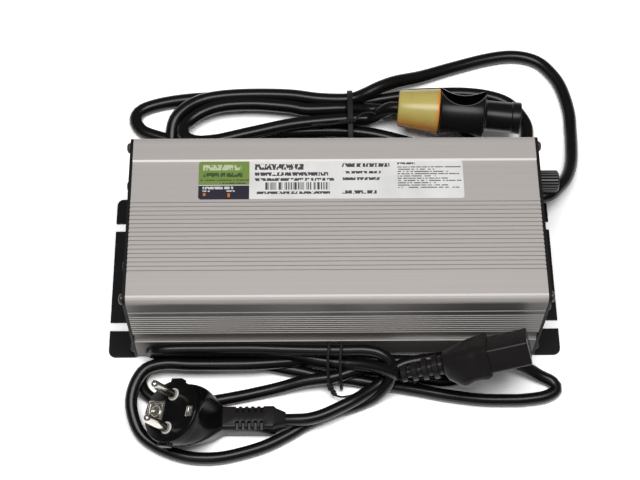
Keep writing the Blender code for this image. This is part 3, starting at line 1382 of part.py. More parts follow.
def make_socket_connector():
    axis = -Vector(SOCKET_AXIS).normalized()
    up = Vector(SOCKET_FACE)
    up = (up - axis * up.dot(axis)).normalized()
    side = axis.cross(up)
    end = Vector(SOCKET_END)
    stages = [
        (0.0, SOCKET_WIDTH - 1.0, SOCKET_HEIGHT - 1.0, 2.0),
        (0.6, SOCKET_WIDTH, SOCKET_HEIGHT, 2.5),
        (SOCKET_LENGTH, SOCKET_WIDTH, SOCKET_HEIGHT, 2.5),
        (SOCKET_LENGTH, GRIP_WIDTH, GRIP_HEIGHT, 4.0),
        (SOCKET_LENGTH + 10.0, GRIP_WIDTH, GRIP_HEIGHT, 4.0),
        (SOCKET_LENGTH + GRIP_LENGTH, GRIP_WIDTH * 0.78, GRIP_HEIGHT * 0.88, 5.0),
        (SOCKET_LENGTH + GRIP_LENGTH + 3.0, 15.0, 14.0, 6.0),
    ]
    start = SOCKET_LENGTH + GRIP_LENGTH + 3.0
    pitch = (SOCKET_RELIEF - 3.0) / RELIEF_RIBS
    for rib in range(RELIEF_RIBS):
        size = 13.6 - 4.4 * rib / (RELIEF_RIBS - 1)
        foot = start + rib * pitch
        stages.append((foot + 0.3, size - 2.0, size - 2.2, (size - 2.2) * 0.48))
        stages.append((foot + pitch * 0.45, size - 2.0, size - 2.2, (size - 2.2) * 0.48))
        stages.append((foot + pitch * 0.5, size, size - 0.2, (size - 0.2) * 0.48))
        stages.append((foot + pitch, size - 0.3, size - 0.5, (size - 0.5) * 0.48))
    bm = bmesh.new()
    add_loft(bm, [ring_at(end + axis * back, side, up, w, h, r) for back, w, h, r in stages])
    body = finish(bm, "socket_connector", "black_plastic", smooth=True)
    bm = bmesh.new()
    for x, y in ((-7.0, -1.6), (7.0, -1.6), (0.0, 2.4)):
        line = [(x + a, y + b) for a, b in rounded(0.0, 0.0, 2.8, 5.0, 0.4, 2)]
        add_loft(bm, [[end + axis * back + side * a + up * b for a, b in line] for back in (-1.0, 17.0)])
    cut(body, finish(bm, "socket_slots", "black_plastic"))


make_socket_connector()
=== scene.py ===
import math

import bmesh
import bpy
from mathutils import Matrix, Vector


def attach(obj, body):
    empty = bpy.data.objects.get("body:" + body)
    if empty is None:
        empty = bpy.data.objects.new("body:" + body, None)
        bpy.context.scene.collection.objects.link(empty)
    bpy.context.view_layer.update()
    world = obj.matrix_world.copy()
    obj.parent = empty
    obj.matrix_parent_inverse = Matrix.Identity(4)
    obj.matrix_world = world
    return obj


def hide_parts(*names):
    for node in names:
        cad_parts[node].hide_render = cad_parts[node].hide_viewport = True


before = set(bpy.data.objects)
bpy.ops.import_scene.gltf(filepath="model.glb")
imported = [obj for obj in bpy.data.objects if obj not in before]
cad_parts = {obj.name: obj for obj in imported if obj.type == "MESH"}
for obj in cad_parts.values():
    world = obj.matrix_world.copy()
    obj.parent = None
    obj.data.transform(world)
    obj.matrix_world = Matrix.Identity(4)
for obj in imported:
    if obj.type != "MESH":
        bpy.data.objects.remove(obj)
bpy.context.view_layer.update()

# Camera: a long lens above the front of the charger, looking down on it. Its place is worked out
# from the distance along the line of sight, so the case stands in the frame as in the photograph.
LINE_OF_SIGHT = 0.877582
TILT = math.radians(62.221)
YAW = math.radians(1.649)
ROLL = math.radians(-1.15)
SIDE_SHIFT = 0.008441
UP_SHIFT = -0.021108
FOCAL_PIXELS = 1488.6
IMAGE_WIDTH = 640

camera_data = bpy.data.cameras.new("camera")
camera = bpy.data.objects.new("camera", camera_data)
bpy.context.scene.collection.objects.link(camera)
camera_data.sensor_width = 36.0
camera_data.lens = FOCAL_PIXELS / IMAGE_WIDTH * camera_data.sensor_width
across = Vector((math.cos(YAW), -math.sin(YAW), 0.0))
away = Vector((math.sin(YAW), math.cos(YAW), 0.0))
up = away * math.sin(TILT) + Vector((0.0, 0.0, math.cos(TILT)))
forward = away * math.cos(TILT) - Vector((0.0, 0.0, math.sin(TILT)))
right_axis = across * math.cos(ROLL) - up * math.sin(ROLL)
up_axis = across * math.sin(ROLL) + up * math.cos(ROLL)
place = -forward * LINE_OF_SIGHT - across * SIDE_SHIFT - up * UP_SHIFT
camera.matrix_world = Matrix.Translation(place) @ Matrix(
    (right_axis, up_axis, -forward)
).transposed().to_4x4()
bpy.context.scene.camera = camera
bpy.context.scene.view_settings.view_transform = "Standard"

# Light: a wide soft box overhead, a smaller one towards the front, and a dim even room. Each box
# is given by its place, its width and depth, and its power.
SOFT_BOXES = (
    ("overhead_box", (0.0, -0.12, 0.95), 0.8, 0.4, 8.0),
    ("front_box", (-0.25, -0.75, 0.75), 0.5, 0.4, 0.4),
)
LIT_SPOT = Vector((0.0, 0.0, 0.0))
ROOM_LIGHT = 0.13
for name, spot, width, depth, power in SOFT_BOXES:
    lamp_data = bpy.data.lights.new(name, "AREA")
    lamp_data.shape = "RECTANGLE"
    lamp_data.size = width
    lamp_data.size_y = depth
    lamp_data.energy = power
    lamp = bpy.data.objects.new(name, lamp_data)
    bpy.context.scene.collection.objects.link(lamp)
    lamp.location = spot
    lamp.rotation_mode = "QUATERNION"
    lamp.rotation_quaternion = (LIT_SPOT - Vector(spot)).to_track_quat("-Z", "Y")

world = bpy.data.worlds.new("room")
bpy.context.scene.world = world
world.use_nodes = True
world.node_tree.nodes["Background"].inputs["Color"].default_value = (1.0, 1.0, 1.0, 1.0)
world.node_tree.nodes["Background"].inputs["Strength"].default_value = ROOM_LIGHT

# Floor: one plain pale sheet. Its colour is lifted for what the camera and shiny surfaces see, so
# the background is white and the shadow stays.
FLOOR_SIZE = 6.0
FLOOR_TONE = (0.15, 0.15, 0.15, 1.0)
FLOOR_SEEN = (1.7, 1.7, 1.7, 1.0)


def filled(made, found, inputs):
    """Fills the inputs of a node in a finish, each from a socket or with a plain value."""
    for slot, value in inputs.items():
        if isinstance(value, bpy.types.NodeSocket):
            made.node_tree.links.new(value, found.inputs[slot])
        else:
            found.inputs[slot].default_value = value
    return found.outputs


def node(made, kind, **inputs):
    """Puts a node into a finish and fills those of its inputs that are named here."""
    return filled(made, made.node_tree.nodes.new(kind), inputs)


def worked_out(made, operation, *values):
    """One step of arithmetic in a finish."""
    found = made.node_tree.nodes.new("ShaderNodeMath")
    found.operation = operation
    return filled(made, found, dict(enumerate(values)))[0]


def blended(made, share, first, second):
    """A colour that goes from the first to the second with the share."""
    found = made.node_tree.nodes.new("ShaderNodeMix")
    found.data_type = "RGBA"
    return filled(made, found, {0: share, 6: first, 7: second})[2]


def started(name):
    """A new finish, still plain."""
    made = bpy.data.materials.new(name)
    made.use_nodes = True
    return made


def on_shader(made, inputs):
    """Fills inputs of a finish's own shader."""
    filled(made, made.node_tree.nodes["Principled BSDF"], inputs)


bpy.ops.object.select_all(action="DESELECT")
bpy.ops.mesh.primitive_plane_add(size=FLOOR_SIZE, location=(0.0, 0.0, 0.0))
floor = bpy.context.object
floor.name = "floor"
floor_finish = started("pale_floor")
seen = node(floor_finish, "ShaderNodeLightPath")
shiny = worked_out(floor_finish, "MAXIMUM", seen["Is Glossy Ray"], seen["Is Transmission Ray"])
looked_at = worked_out(floor_finish, "MAXIMUM", seen["Is Camera Ray"], shiny)
on_shader(floor_finish, {
    "Base Color": blended(floor_finish, looked_at, FLOOR_TONE, FLOOR_SEEN),
    "Roughness": 1.0, "Specular IOR Level": 0.0,
})
floor.data.materials.append(floor_finish)

# Output lead: a round two-core lead in smooth black PVC, fixed in the end plate by its relief. It
# makes one wide loop, lies in a flat hank of three folds and ends in the twist-lock connector.
LEAD_DIAMETER = 0.008
CLOUD_SCALE = 60.0


def in_metres(points):
    """Points that are written down in millimetres, in metres."""
    return [tuple(value / 1000.0 for value in point) for point in points]


OUTPUT_ROUTE = in_metres([
    (118, 41.5, 20.5), (127, 42, 20.5), (135, 50, 17.5), (141, 59, 14), (145, 71, 10),
    (147, 85, 6.5), (148, 99, 4), (148, 112, 4), (145, 128, 4), (140, 139, 4), (131, 149, 4),
    (117, 153, 4), (100, 151, 4), (77, 144, 4.5), (57, 136, 7), (41, 129.5, 11.5), (30, 124, 13.2),
    (20.5, 119, 12.8), (11, 115, 13.5), (-7, 116, 12.5), (-25, 119, 12), (-47, 120, 11.5),
    (-66, 119, 11.5), (-80, 116, 11.5), (-90, 110, 11.5), (-96, 103, 10), (-98, 95, 6.5),
    (-97, 87, 4), (-90, 81, 4), (-75, 80, 4), (-45, 85, 4), (-15, 89, 4), (10, 88, 4),
    (18, 86.5, 4), (40, 76, 4), (60, 68.5, 4), (75, 66, 4), (100, 66, 4), (115, 74, 4),
    (121, 96, 4), (118, 108, 4), (110, 118, 4), (98, 123, 4), (84, 125, 4), (69, 125, 4),
    (50, 124, 4), (31, 121, 4), (20.5, 119.3, 4), (5, 117.5, 4), (-7, 117, 4), (-29, 119, 4),
    (-57, 122, 4), (-82, 122, 4), (-103, 119, 4), (-117, 114, 4), (-121, 107, 4), (-117, 99, 4),
    (-106, 94, 4), (-90, 90, 4), (-60, 93, 4), (-30, 97, 4), (0, 98, 4), (23, 96, 4), (45, 90, 4),
    (70, 82, 4), (84, 86, 4), (84, 98, 4), (70, 107, 4), (50, 110, 5), (35, 111.5, 6),
    (23.5, 112, 6.5), (8, 110, 11), (-15, 109, 11.5), (-25, 111, 11.5), (-47, 113, 11.5),
    (-66, 112, 11.5), (-78, 108, 11.5), (-87, 102, 10.5), (-91, 95, 11), (-88, 88, 11.5),
    (-75, 86, 11.5), (-50, 92, 11.5), (-25, 98, 11.5), (0, 101, 11.5), (15, 102.5, 10.8),
    (23, 103, 10.5), (26.5, 103, 13), (31.5, 102.9, 19), (36, 102.7, 22.6), (40.3, 102.2, 23.3),
])


def smooth_line(points, step):
    """Points about one step apart on a curve through the chosen ones."""
    ends = [2.0 * Vector(points[0]) - Vector(points[1])]
    ends += [Vector(point) for point in points]
    ends.append(2.0 * Vector(points[-1]) - Vector(points[-2]))
    found = []
    for i in range(1, len(ends) - 2):
        p0, p1, p2, p3 = ends[i - 1:i + 3]
        count = max(1, round((p2 - p1).length / step))
        for k in range(count):
            t = k / count
            bend = 2.0 * p0 - 5.0 * p1 + 4.0 * p2 - p3
            twist = 3.0 * p1 - p0 - 3.0 * p2 + p3
            found.append((2.0 * p1 + (p2 - p0) * t + bend * t * t + twist * t * t * t) / 2.0)
    found.append(ends[-2])
    return found


def round_run(name, line, thickness, fineness):
    """A round, closed curve piece along a line of points."""
    curve = bpy.data.curves.new(name, "CURVE")
    curve.dimensions = "3D"
    curve.bevel_depth = thickness / 2.0
    curve.bevel_resolution = fineness
    curve.use_fill_caps = True
    spline = curve.splines.new("POLY")
    spline.points.add(len(line) - 1)
    for point, spot in zip(spline.points, line):
        point.co = (*spot, 1.0)
    made = bpy.data.objects.new(name, curve)
    bpy.context.scene.collection.objects.link(made)
    return made


def laid_cord(name, route, diameter, finish):
    """A cord along a route, never lower than the floor, and its length."""
    line = smooth_line(route, diameter * 0.4)
    for point in line:
        point.z = max(point.z, diameter / 2.0)
    made = round_run(name, line, diameter, 6)
    made.data.materials.append(finish)
    length = sum((second - first).length for first, second in zip(line, line[1:]))
    return made, length


def ranged(made, value, low, high, at_low, at_high):
    """A number in a finish that goes from one value to another between two places."""
    return filled(made, made.node_tree.nodes.new("ShaderNodeMapRange"), {
        "Value": value, "From Min": low, "From Max": high, "To Min": at_low, "To Max": at_high,
    })["Result"]


def toned(made, share, colour, spread):
    """A colour that wanders from a little darker to a little lighter."""
    dark = (*(channel * (1.0 - spread) for channel in colour), 1.0)
    light = (*(min(1.0, channel * (1.0 + spread)) for channel in colour), 1.0)
    return blended(made, share, dark, light)


def spot_on(made):
    """For a finish: where a spot lies, measured from the origin."""
    return node(made, "ShaderNodeTexCoord")["Object"]


def moulded(name, colour, roughness, grain_size, grain_depth, spread=0.06):
    """Plastic or paint: its colour, an uneven gloss, and a fine grain."""
    made = started(name)
    spot = spot_on(made)
    grain = node(made, "ShaderNodeTexNoise", Vector=spot, Scale=1.0 / grain_size, Detail=3.0)
    bump = node(made, "ShaderNodeBump", Height=grain["Fac"], Strength=0.5, Distance=grain_depth)
    cloud = node(made, "ShaderNodeTexNoise", Vector=spot, Scale=CLOUD_SCALE)["Fac"]
    on_shader(made, {
        "Base Color": toned(made, cloud, colour, 0.15), "Normal": bump["Normal"],
        "Roughness": ranged(made, cloud, 0.0, 1.0, roughness - spread, roughness + spread),
    })
    return made


def black_moulded(name, colour, roughness, grain_size, grain_depth, sheen=0.15):
    """Black plastic: as moulded, with a weaker sheen, so that it stays deep black."""
    made = moulded(name, colour, roughness, grain_size, grain_depth)
    on_shader(made, {"Specular IOR Level": sheen})
    return made


pvc = black_moulded("black_pvc", (0.0052, 0.0046, 0.0043), 0.27, 0.0006, 0.00001, 0.32)
output_lead, output_length = laid_cord("output_lead_cord", OUTPUT_ROUTE, LEAD_DIAMETER, pvc)
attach(output_lead, "charger")
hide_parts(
    "output_lead", "output_hank", "output_outer_bend", "output_inner_bend",
    "output_tail",
)

# Mains lead: the charger's own detachable lead in the same PVC, a little thinner. It is folded
# along the front of the case between the angled plug and the socket connector.
MAINS_DIAMETER = 0.007
MAINS_ROUTE = in_metres([
    (-28, -93.7, 9.9), (-22, -94, 10.9), (-16, -93.8, 11.3), (-9, -92, 11.3), (-2, -89, 11.3),
    (8, -84, 11.3), (17, -78, 10), (25, -72, 9.5), (31, -66, 11), (38, -62, 12.5), (48, -60, 13.5),
    (58, -59, 14), (75, -57, 14), (92, -58, 12), (107, -62, 8), (116, -66, 4.5), (123, -69.5, 3.5),
    (124.5, -74.5, 3.5), (118, -78.3, 3.5), (107, -80, 3.5), (98, -80.3, 3.5), (84, -80, 3.5),
    (71, -78.5, 3.5), (59, -76.5, 3.5), (47, -74, 3.5), (33, -71.5, 3.5), (22, -70, 4.5),
    (8, -67.5, 4.5), (-6, -66, 4.5), (-20, -62.5, 4.5), (-40, -58.5, 4.2), (-58, -56, 3.8),
    (-74, -55.5, 3.6), (-88, -55.5, 3.5), (-97, -56.5, 3.5), (-106, -60.5, 3.5),
    (-109.8, -67.5, 3.5), (-107.2, -74.5, 3.5), (-100, -79.5, 3.5), (-90, -81.5, 3.5),
    (-77, -81, 3.5), (-64, -79, 3.5), (-51, -76.5, 3.5), (-34, -73, 4.5), (-17, -70, 8.5),
    (0, -68.5, 11), (14, -64, 10.5), (31, -62.5, 5), (50, -66.5, 3.5), (65, -68, 3.5),
    (76, -63, 3.5), (76, -58, 3.5), (60, -56, 3.5), (40, -56, 3.5), (12, -55.5, 4), (-8, -55.5, 7),
    (-26, -58.5, 9.5), (-45, -60.8, 11.8), (-60, -61.2, 12.2), (-82, -61.2, 12.5),
    (-96, -60.6, 12.5), (-106.8, -63.6, 11.8), (-112.6, -72.6, 10.8), (-114.2, -84.5, 8.5),
    (-109.4, -98.2, 5), (-99, -106.5, 3.5), (-85, -112, 3.5), (-73, -113.5, 3.5),
    (-60, -112.4, 3.5), (-41.3, -107.2, 3.5), (-28, -100.8, 3.5), (-15.5, -93.4, 3.5),
    (0, -86.5, 3.5), (8, -84, 3.5), (16, -81, 4), (23.5, -77.5, 7), (30, -72, 14),
    (30.5, -64.5, 20), (25, -60, 23), (17, -58, 23.5), (5, -57.5, 22.5), (-9, -56.8, 21.2),
    (-26, -56, 20.5), (-48, -55.2, 20.5), (-68, -55.2, 20.5), (-84, -55.2, 20.5),
    (-94, -55.3, 20.3), (-100.5, -55.3, 19), (-103.2, -55, 16), (-100.8, -54.5, 13),
    (-94, -54.2, 12), (-75, -54.2, 12), (-50, -54.2, 12.2), (-25, -56, 13.5), (-8, -60, 14),
    (4, -62, 15), (15, -64, 17.5), (26, -68, 20.8), (35, -73.1, 24.3),
])
mains_lead, mains_length = laid_cord("mains_lead_cord", MAINS_ROUTE, MAINS_DIAMETER, pvc)
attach(mains_lead, "charger")
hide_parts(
    "mains_lead", "mains_hank", "mains_outer_loop", "mains_inner_loop",
    "mains_socket_loop",
)

# Output tie: a flat band of coated wire around the hank, with its ends twisted together on top and
# bent away to both sides.
TIE_X = 0.0115
BAND_WIDTH = 0.0034
BAND_THICKNESS = 0.0011
BAND_LINE = in_metres([
    (81.8, 3.5), (83.2, 8.5), (88, 14), (96, 17.2), (106, 18.2), (114.5, 18), (120.5, 15),
    (123.2, 9), (122.5, 3), (119, 0.8), (110, 0.6), (95, 0.6), (85, 0.8),
])
KNOT_START = (0.0050, 0.0952, 0.0185)
KNOT_END = (0.0145, 0.0964, 0.0193)
KNOT_RADIUS = 0.0008
KNOT_PITCH = 0.0042
KNOT_WIRE = 0.0015
TAIL_WIRE = 0.0012
RIGHT_TAIL = [(0.0186, 0.1010, 0.0190), (0.0247, 0.1018, 0.0188), (0.0320, 0.0992, 0.0172)]
LEFT_TAIL = [(-0.0011, 0.0945, 0.0175), (-0.0071, 0.0952, 0.0165), (-0.0122, 0.0950, 0.0158)]


def only(piece):
    """Selects one piece and nothing else."""
    bpy.ops.object.select_all(action="DESELECT")
    piece.select_set(True)
    bpy.context.view_layer.objects.active = piece


def as_mesh(piece):
    """Turns a curve into a mesh."""
    only(piece)
    bpy.ops.object.convert(target="MESH")
    return bpy.context.object


def shaded(piece, degrees=35.0):
    """Shades the faces of a piece smooth up to an angle between them."""
    only(piece)
    bpy.ops.object.shade_smooth_by_angle(angle=math.radians(degrees))


def finished(piece, finish, slot, *nodes):
    """Gives a piece its finish, lets it ride on the charger and hides what it stands for."""
    piece.data.materials.clear()
    piece.data.materials.append(finish)
    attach(piece, "charger")
    if nodes:
        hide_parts(*nodes)


def band(name, outline, at, width, thickness):
    """A closed flat band that stands across the case's length."""
    curve = bpy.data.curves.new(name, "CURVE")
    curve.dimensions = "2D"
    curve.fill_mode = "NONE"
    curve.extrude = width / 2.0 - thickness / 2.0
    curve.bevel_depth = thickness / 2.0
    curve.bevel_resolution = 2
    spline = curve.splines.new("NURBS")
    spline.points.add(len(outline) - 1)
    for point, (y, z) in zip(spline.points, outline):
        point.co = (y, z, 0.0, 1.0)
    spline.order_u = 3
    spline.use_cyclic_u = True
    spline.resolution_u = 6
    made = bpy.data.objects.new(name, curve)
    bpy.context.scene.collection.objects.link(made)
    made.matrix_world = Matrix(((0, 0, 1, at), (1, 0, 0, 0), (0, 1, 0, 0), (0, 0, 0, 1)))
    made = as_mesh(made)
    bpy.ops.object.transform_apply(location=True, rotation=True, scale=True)
    return made


def wire(name, points, thickness, smooth=True):
    """A length of round wire through the points."""
    line = smooth_line(points, thickness) if smooth else points
    return as_mesh(round_run(name, line, thickness, 3))


def twisted(start, end, radius, pitch, strand):
    """Points of one of two strands that are twisted around each other."""
    start = Vector(start)
    along = Vector(end) - start
    side = along.cross(Vector((0.0, 0.0, 1.0))).normalized()
    rise = side.cross(along).normalized()
    count = max(4, round(along.length / pitch * 8))
    points = []
    for i in range(count + 1):
        turn = math.pi * strand + 2.0 * math.pi * i / 8.0
        swing = side * radius * math.cos(turn) + rise * radius * math.sin(turn)
        points.append(start + along * (i / count) + swing)
    return points


def joined(name, pieces):
    """Makes one piece of several."""
    bpy.ops.object.select_all(action="DESELECT")
    for piece in pieces:
        piece.select_set(True)
    bpy.context.view_layer.objects.active = pieces[0]
    bpy.ops.object.join()
    made = bpy.context.object
    made.name = name
    return made


tie_coat = black_moulded("tie_coating", (0.022, 0.020, 0.020), 0.5, 0.0007, 0.00004)
parts = [band("output_tie_band", BAND_LINE, TIE_X, BAND_WIDTH, BAND_THICKNESS)]
for strand in (0, 1):
    twist = twisted(KNOT_START, KNOT_END, KNOT_RADIUS, KNOT_PITCH, strand)
    parts.append(wire(f"output_tie_twist_{strand}", twist, KNOT_WIRE, smooth=False))
parts.append(wire("output_tie_tail_1", [KNOT_END] + RIGHT_TAIL, TAIL_WIRE))
parts.append(wire("output_tie_tail_2", [KNOT_START] + LEFT_TAIL, TAIL_WIRE))
output_tie = joined("output_tie_piece", parts)
shaded(output_tie, 50.0)
finished(output_tie, tie_coat, "black_plastic", "output_tie")

# Mains tie: a thinner coated wire wound twice around the front hank, with its ends twisted together
# in front and one of them left long.
MAINS_TIE_WIRE = 0.0016
TIE_TURNS = (-0.0041, 0.0028)
TURN_LINE = in_metres([
    (-51.8, 12), (-52.2, 21.5), (-55, 26.3), (-59.5, 27.2), (-64, 24.5), (-68.5, 18.5), (-72.2, 12),
    (-73.5, 6), (-71.5, 1.4), (-64, 0.9), (-56, 0.9), (-52.2, 3),
])
FRONT_TWIST_START = (-0.0036, -0.0728, 0.0085)
FRONT_TWIST_END = (-0.0005, -0.0775, 0.0060)
FRONT_TWIST_RADIUS = 0.0009
FRONT_TWIST_PITCH = 0.0045
FRONT_TAIL = [(0.0030, -0.0786, 0.0058), (0.0090, -0.0778, 0.0062), (0.0167, -0.0752, 0.0078)]
WANDER = 0.0006
parts = []
for number, x in enumerate(TIE_TURNS, 1):
    loop = [
        (x + WANDER * math.sin(k * 1.1), y, z) for k, (y, z) in enumerate(TURN_LINE + TURN_LINE[:1])
    ]
    parts.append(wire(f"mains_tie_turn_{number}", loop, MAINS_TIE_WIRE))
for strand in (0, 1):
    twist = twisted(
        FRONT_TWIST_START, FRONT_TWIST_END, FRONT_TWIST_RADIUS, FRONT_TWIST_PITCH, strand
    )
    parts.append(wire(f"mains_tie_twist_{strand}", twist, MAINS_TIE_WIRE, smooth=False))
parts.append(wire("mains_tie_tail", [FRONT_TWIST_END] + FRONT_TAIL, MAINS_TIE_WIRE * 0.8))
mains_tie = joined("mains_tie_piece", parts)
shaded(mains_tie, 50.0)
finished(mains_tie, tie_coat, "black_plastic", "mains_tie")

# Twist-lock connector: an amber bushing that grips the lead, a waisted black body for finger and
# thumb, and a slotted nose with its locking ring. Three glossy mouldings screwed together.
CONNECTOR_START = Vector((0.0403, 0.1022, 0.0233))
CONNECTOR_END = Vector((0.1141, 0.0943, 0.0233))
CONNECTOR_AXIS = (CONNECTOR_END - CONNECTOR_START).normalized()
CONNECTOR_LENGTH = (CONNECTOR_END - CONNECTOR_START).length
BUSHING_LENGTH = 0.025
BODY_LENGTH = 0.0272
BODY_RADIUS = 0.015
NOSE_RADIUS = 0.0092
JOINT_GAP = 0.0002
WAIST_RADIUS = 0.019
WAIST_DEPTH = 0.0068
WAIST_TURN = -42.0
WAIST_EDGE = (BODY_RADIUS - 0.0011, BODY_RADIUS - 0.0007)
LOCK_SLOT = (0.006, 0.0034, 0.009)
LOCK_TURNS = (160.0, 280.0)
CONNECTOR_GLOSS = ((0.008, 0.007, 0.007), 0.28, 0.0007, 0.00001, 0.25)
ORANGE_PAINTED_SHADE = (0.75, 0.30, 0.04, 1.0)
AMBER_SHADE = (0.0310, 0.0235)
AMBER_EDGE = (0.0225, 0.0240)


def opened(piece):
    """Opens a piece in edit mode with all of its faces selected."""
    only(piece)
    bpy.ops.object.mode_set(mode="EDIT")
    bpy.ops.mesh.select_mode(type="FACE")
    bpy.ops.mesh.select_all(action="SELECT")


def closed_up():
    """Turns all faces of the open piece outwards and leaves edit mode."""
    bpy.ops.mesh.select_all(action="SELECT")
    bpy.ops.mesh.remove_doubles(threshold=0.000001)
    bpy.ops.mesh.normals_make_consistent(inside=False)
    bpy.ops.object.mode_set(mode="OBJECT")


def named(name):
    """Names the piece just made, with its object left unturned and unscaled at the origin."""
    made = bpy.context.object
    made.name = name
    bpy.ops.object.transform_apply(location=True, rotation=True, scale=True)
    return made


def drawn_up(name, steps, sides=64):
    """A round piece: a disc is extruded and scaled ring by ring through (height, radius) steps."""
    height, radius = steps[0]
    bpy.ops.object.select_all(action="DESELECT")
    bpy.ops.mesh.primitive_circle_add(
        vertices=sides, radius=radius, fill_type="NGON", location=(0.0, 0.0, height)
    )
    made = named(name)
    opened(made)
    for next_height, next_radius in steps[1:]:
        rise = next_height - height
        bpy.ops.mesh.extrude_region_move(TRANSFORM_OT_translate={"value": (0.0, 0.0, rise)})
        share = next_radius / radius
        bpy.ops.transform.resize(value=(share, share, 1.0))
        height, radius = next_height, next_radius
    closed_up()
    return made


def eased(piece, width, angle=30.0):
    """Rounds the sharp edges a little, as a mould leaves them."""
    only(piece)
    rounding = piece.modifiers.new("eased", "BEVEL")
    rounding.width = width
    rounding.segments = 2
    rounding.limit_method = "ANGLE"
    rounding.angle_limit = math.radians(angle)
    bpy.ops.object.modifier_apply(modifier=rounding.name)


def carved(piece, cutters):
    """Takes other bodies out of a piece, and the bodies go."""
    for cutter in cutters:
        only(piece)
        step = piece.modifiers.new("carved", "BOOLEAN")
        step.operation = "DIFFERENCE"
        step.solver = "EXACT"
        step.object = cutter
        bpy.ops.object.modifier_apply(modifier=step.name)
        bpy.data.objects.remove(cutter)


def turn_to(axis):
    """The turn that takes +Z to an axis and keeps +X as upright as it can be."""
    axis = Vector(axis).normalized()
    upright = Vector((0.0, 0.0, 1.0))
    side = (upright - axis * upright.dot(axis)).normalized()
    return Matrix((side, axis.cross(side), axis)).transposed()


def laid(piece, centre, turn):
    """Takes a piece from the bench to its place, and leaves its object at the origin."""
    only(piece)
    piece.matrix_world = Matrix.Translation(centre) @ turn.to_4x4()
    bpy.ops.object.transform_apply(location=True, rotation=True, scale=True)


def block(name, size, centre):
    """A plain block on the bench, to be cut away or shaped further."""
    bpy.ops.object.select_all(action="DESELECT")
    bpy.ops.mesh.primitive_cube_add(size=1.0, location=centre)
    bpy.context.object.scale = size
    return named(name)


def rod(name, radius, length, centre, turn=(0.0, 0.0, 0.0), sides=48):
    """A plain round bar on the bench."""
    bpy.ops.object.select_all(action="DESELECT")
    bpy.ops.mesh.primitive_cylinder_add(
        vertices=sides, radius=radius, depth=length, location=centre, rotation=turn
    )
    return named(name)


def spun(piece, degrees):
    """Turns a piece around the upright axis of the bench."""
    piece.data.transform(Matrix.Rotation(math.radians(degrees), 4, "Z"))
    return piece


connector_turn = turn_to(CONNECTOR_AXIS)

bushing = drawn_up("connector_bushing_piece", [
    (0.004, 0.0042), (0.0, 0.0042), (0.0, 0.0098), (0.0004, 0.0107), (0.0014, 0.0111),
    (0.0240, 0.0139), (0.0247, 0.0137), (0.0250, 0.0132), (0.0250, 0.0100), (0.0240, 0.0095),
])
eased(bushing, 0.0003)
shaded(bushing)
laid(bushing, CONNECTOR_START, connector_turn)

body = drawn_up("connector_body_piece", [
    (0.0, 0.0139), (0.0005, 0.0146), (0.0012, BODY_RADIUS), (BODY_LENGTH - 0.0018, BODY_RADIUS),
    (BODY_LENGTH - 0.0006, BODY_RADIUS - 0.0004), (BODY_LENGTH, BODY_RADIUS - 0.0012),
], sides=96)
waist_cutters = []
for spin in (WAIST_TURN, WAIST_TURN + 180.0):
    reach = BODY_RADIUS - WAIST_DEPTH + WAIST_RADIUS
    cutter = rod(
        "waist_cutter", WAIST_RADIUS, 0.06, (reach, 0.0, BODY_LENGTH / 2.0),
        (math.radians(90.0), 0.0, 0.0), 96,
    )
    waist_cutters.append(spun(cutter, spin))
carved(body, waist_cutters)
eased(body, 0.0004)
shaded(body)
laid(body, CONNECTOR_START + CONNECTOR_AXIS * (BUSHING_LENGTH + JOINT_GAP), connector_turn)

nose_start = BUSHING_LENGTH + BODY_LENGTH + 2.0 * JOINT_GAP
nose_length = CONNECTOR_LENGTH - nose_start
nose = drawn_up("connector_nose_piece", [
    (0.0, NOSE_RADIUS + 0.0008), (0.0010, NOSE_RADIUS),
    (nose_length - 0.0056, NOSE_RADIUS - 0.0001),
    (nose_length - 0.0052, NOSE_RADIUS + 0.0005), (nose_length - 0.0005, NOSE_RADIUS + 0.0005),
    (nose_length, NOSE_RADIUS), (nose_length, NOSE_RADIUS - 0.0018),
    (nose_length - 0.012, NOSE_RADIUS - 0.0018), (nose_length - 0.012, 0.0055),
    (nose_length - 0.001, 0.0055), (nose_length - 0.0006, 0.0050),
], sides=72)
slots = []
for spin in LOCK_TURNS:
    slot = block("nose_slot", LOCK_SLOT, (NOSE_RADIUS, 0.0, nose_length - 0.003))
    slots.append(spun(slot, spin))
carved(nose, slots)
eased(nose, 0.0002)
shaded(nose)
laid(nose, CONNECTOR_START + CONNECTOR_AXIS * nose_start, connector_turn)


def vector_step(made, operation, *values):
    """One step of arithmetic with directions in a finish."""
    found = made.node_tree.nodes.new("ShaderNodeVectorMath")
    found.operation = operation
    return filled(made, found, dict(enumerate(values)))


def from_axis(made, centre, axis):
    """For a finish: how far a spot lies along a piece's axis and how far from it."""
    offset = vector_step(made, "SUBTRACT", spot_on(made), centre)["Vector"]
    along = vector_step(made, "DOT_PRODUCT", offset, axis)["Value"]
    foot = vector_step(made, "PROJECT", offset, axis)["Vector"]
    return along, vector_step(made, "DISTANCE", offset, foot)["Value"]


def tone_so_far(made):
    """What gives a finish its colour so far."""
    return made.node_tree.nodes["Principled BSDF"].inputs["Base Color"].links[0].from_socket


def painted_light_tone(made, gain):
    """Paints light or shade into a finish's colour: makes it lighter or darker by a gain that
    changes over the piece.
    """
    tone = made.node_tree.nodes.new("ShaderNodeVectorMath")
    tone.operation = "SCALE"
    filled(made, tone, {0: tone_so_far(made), "Scale": gain})
    on_shader(made, {"Base Color": tone.outputs["Vector"]})
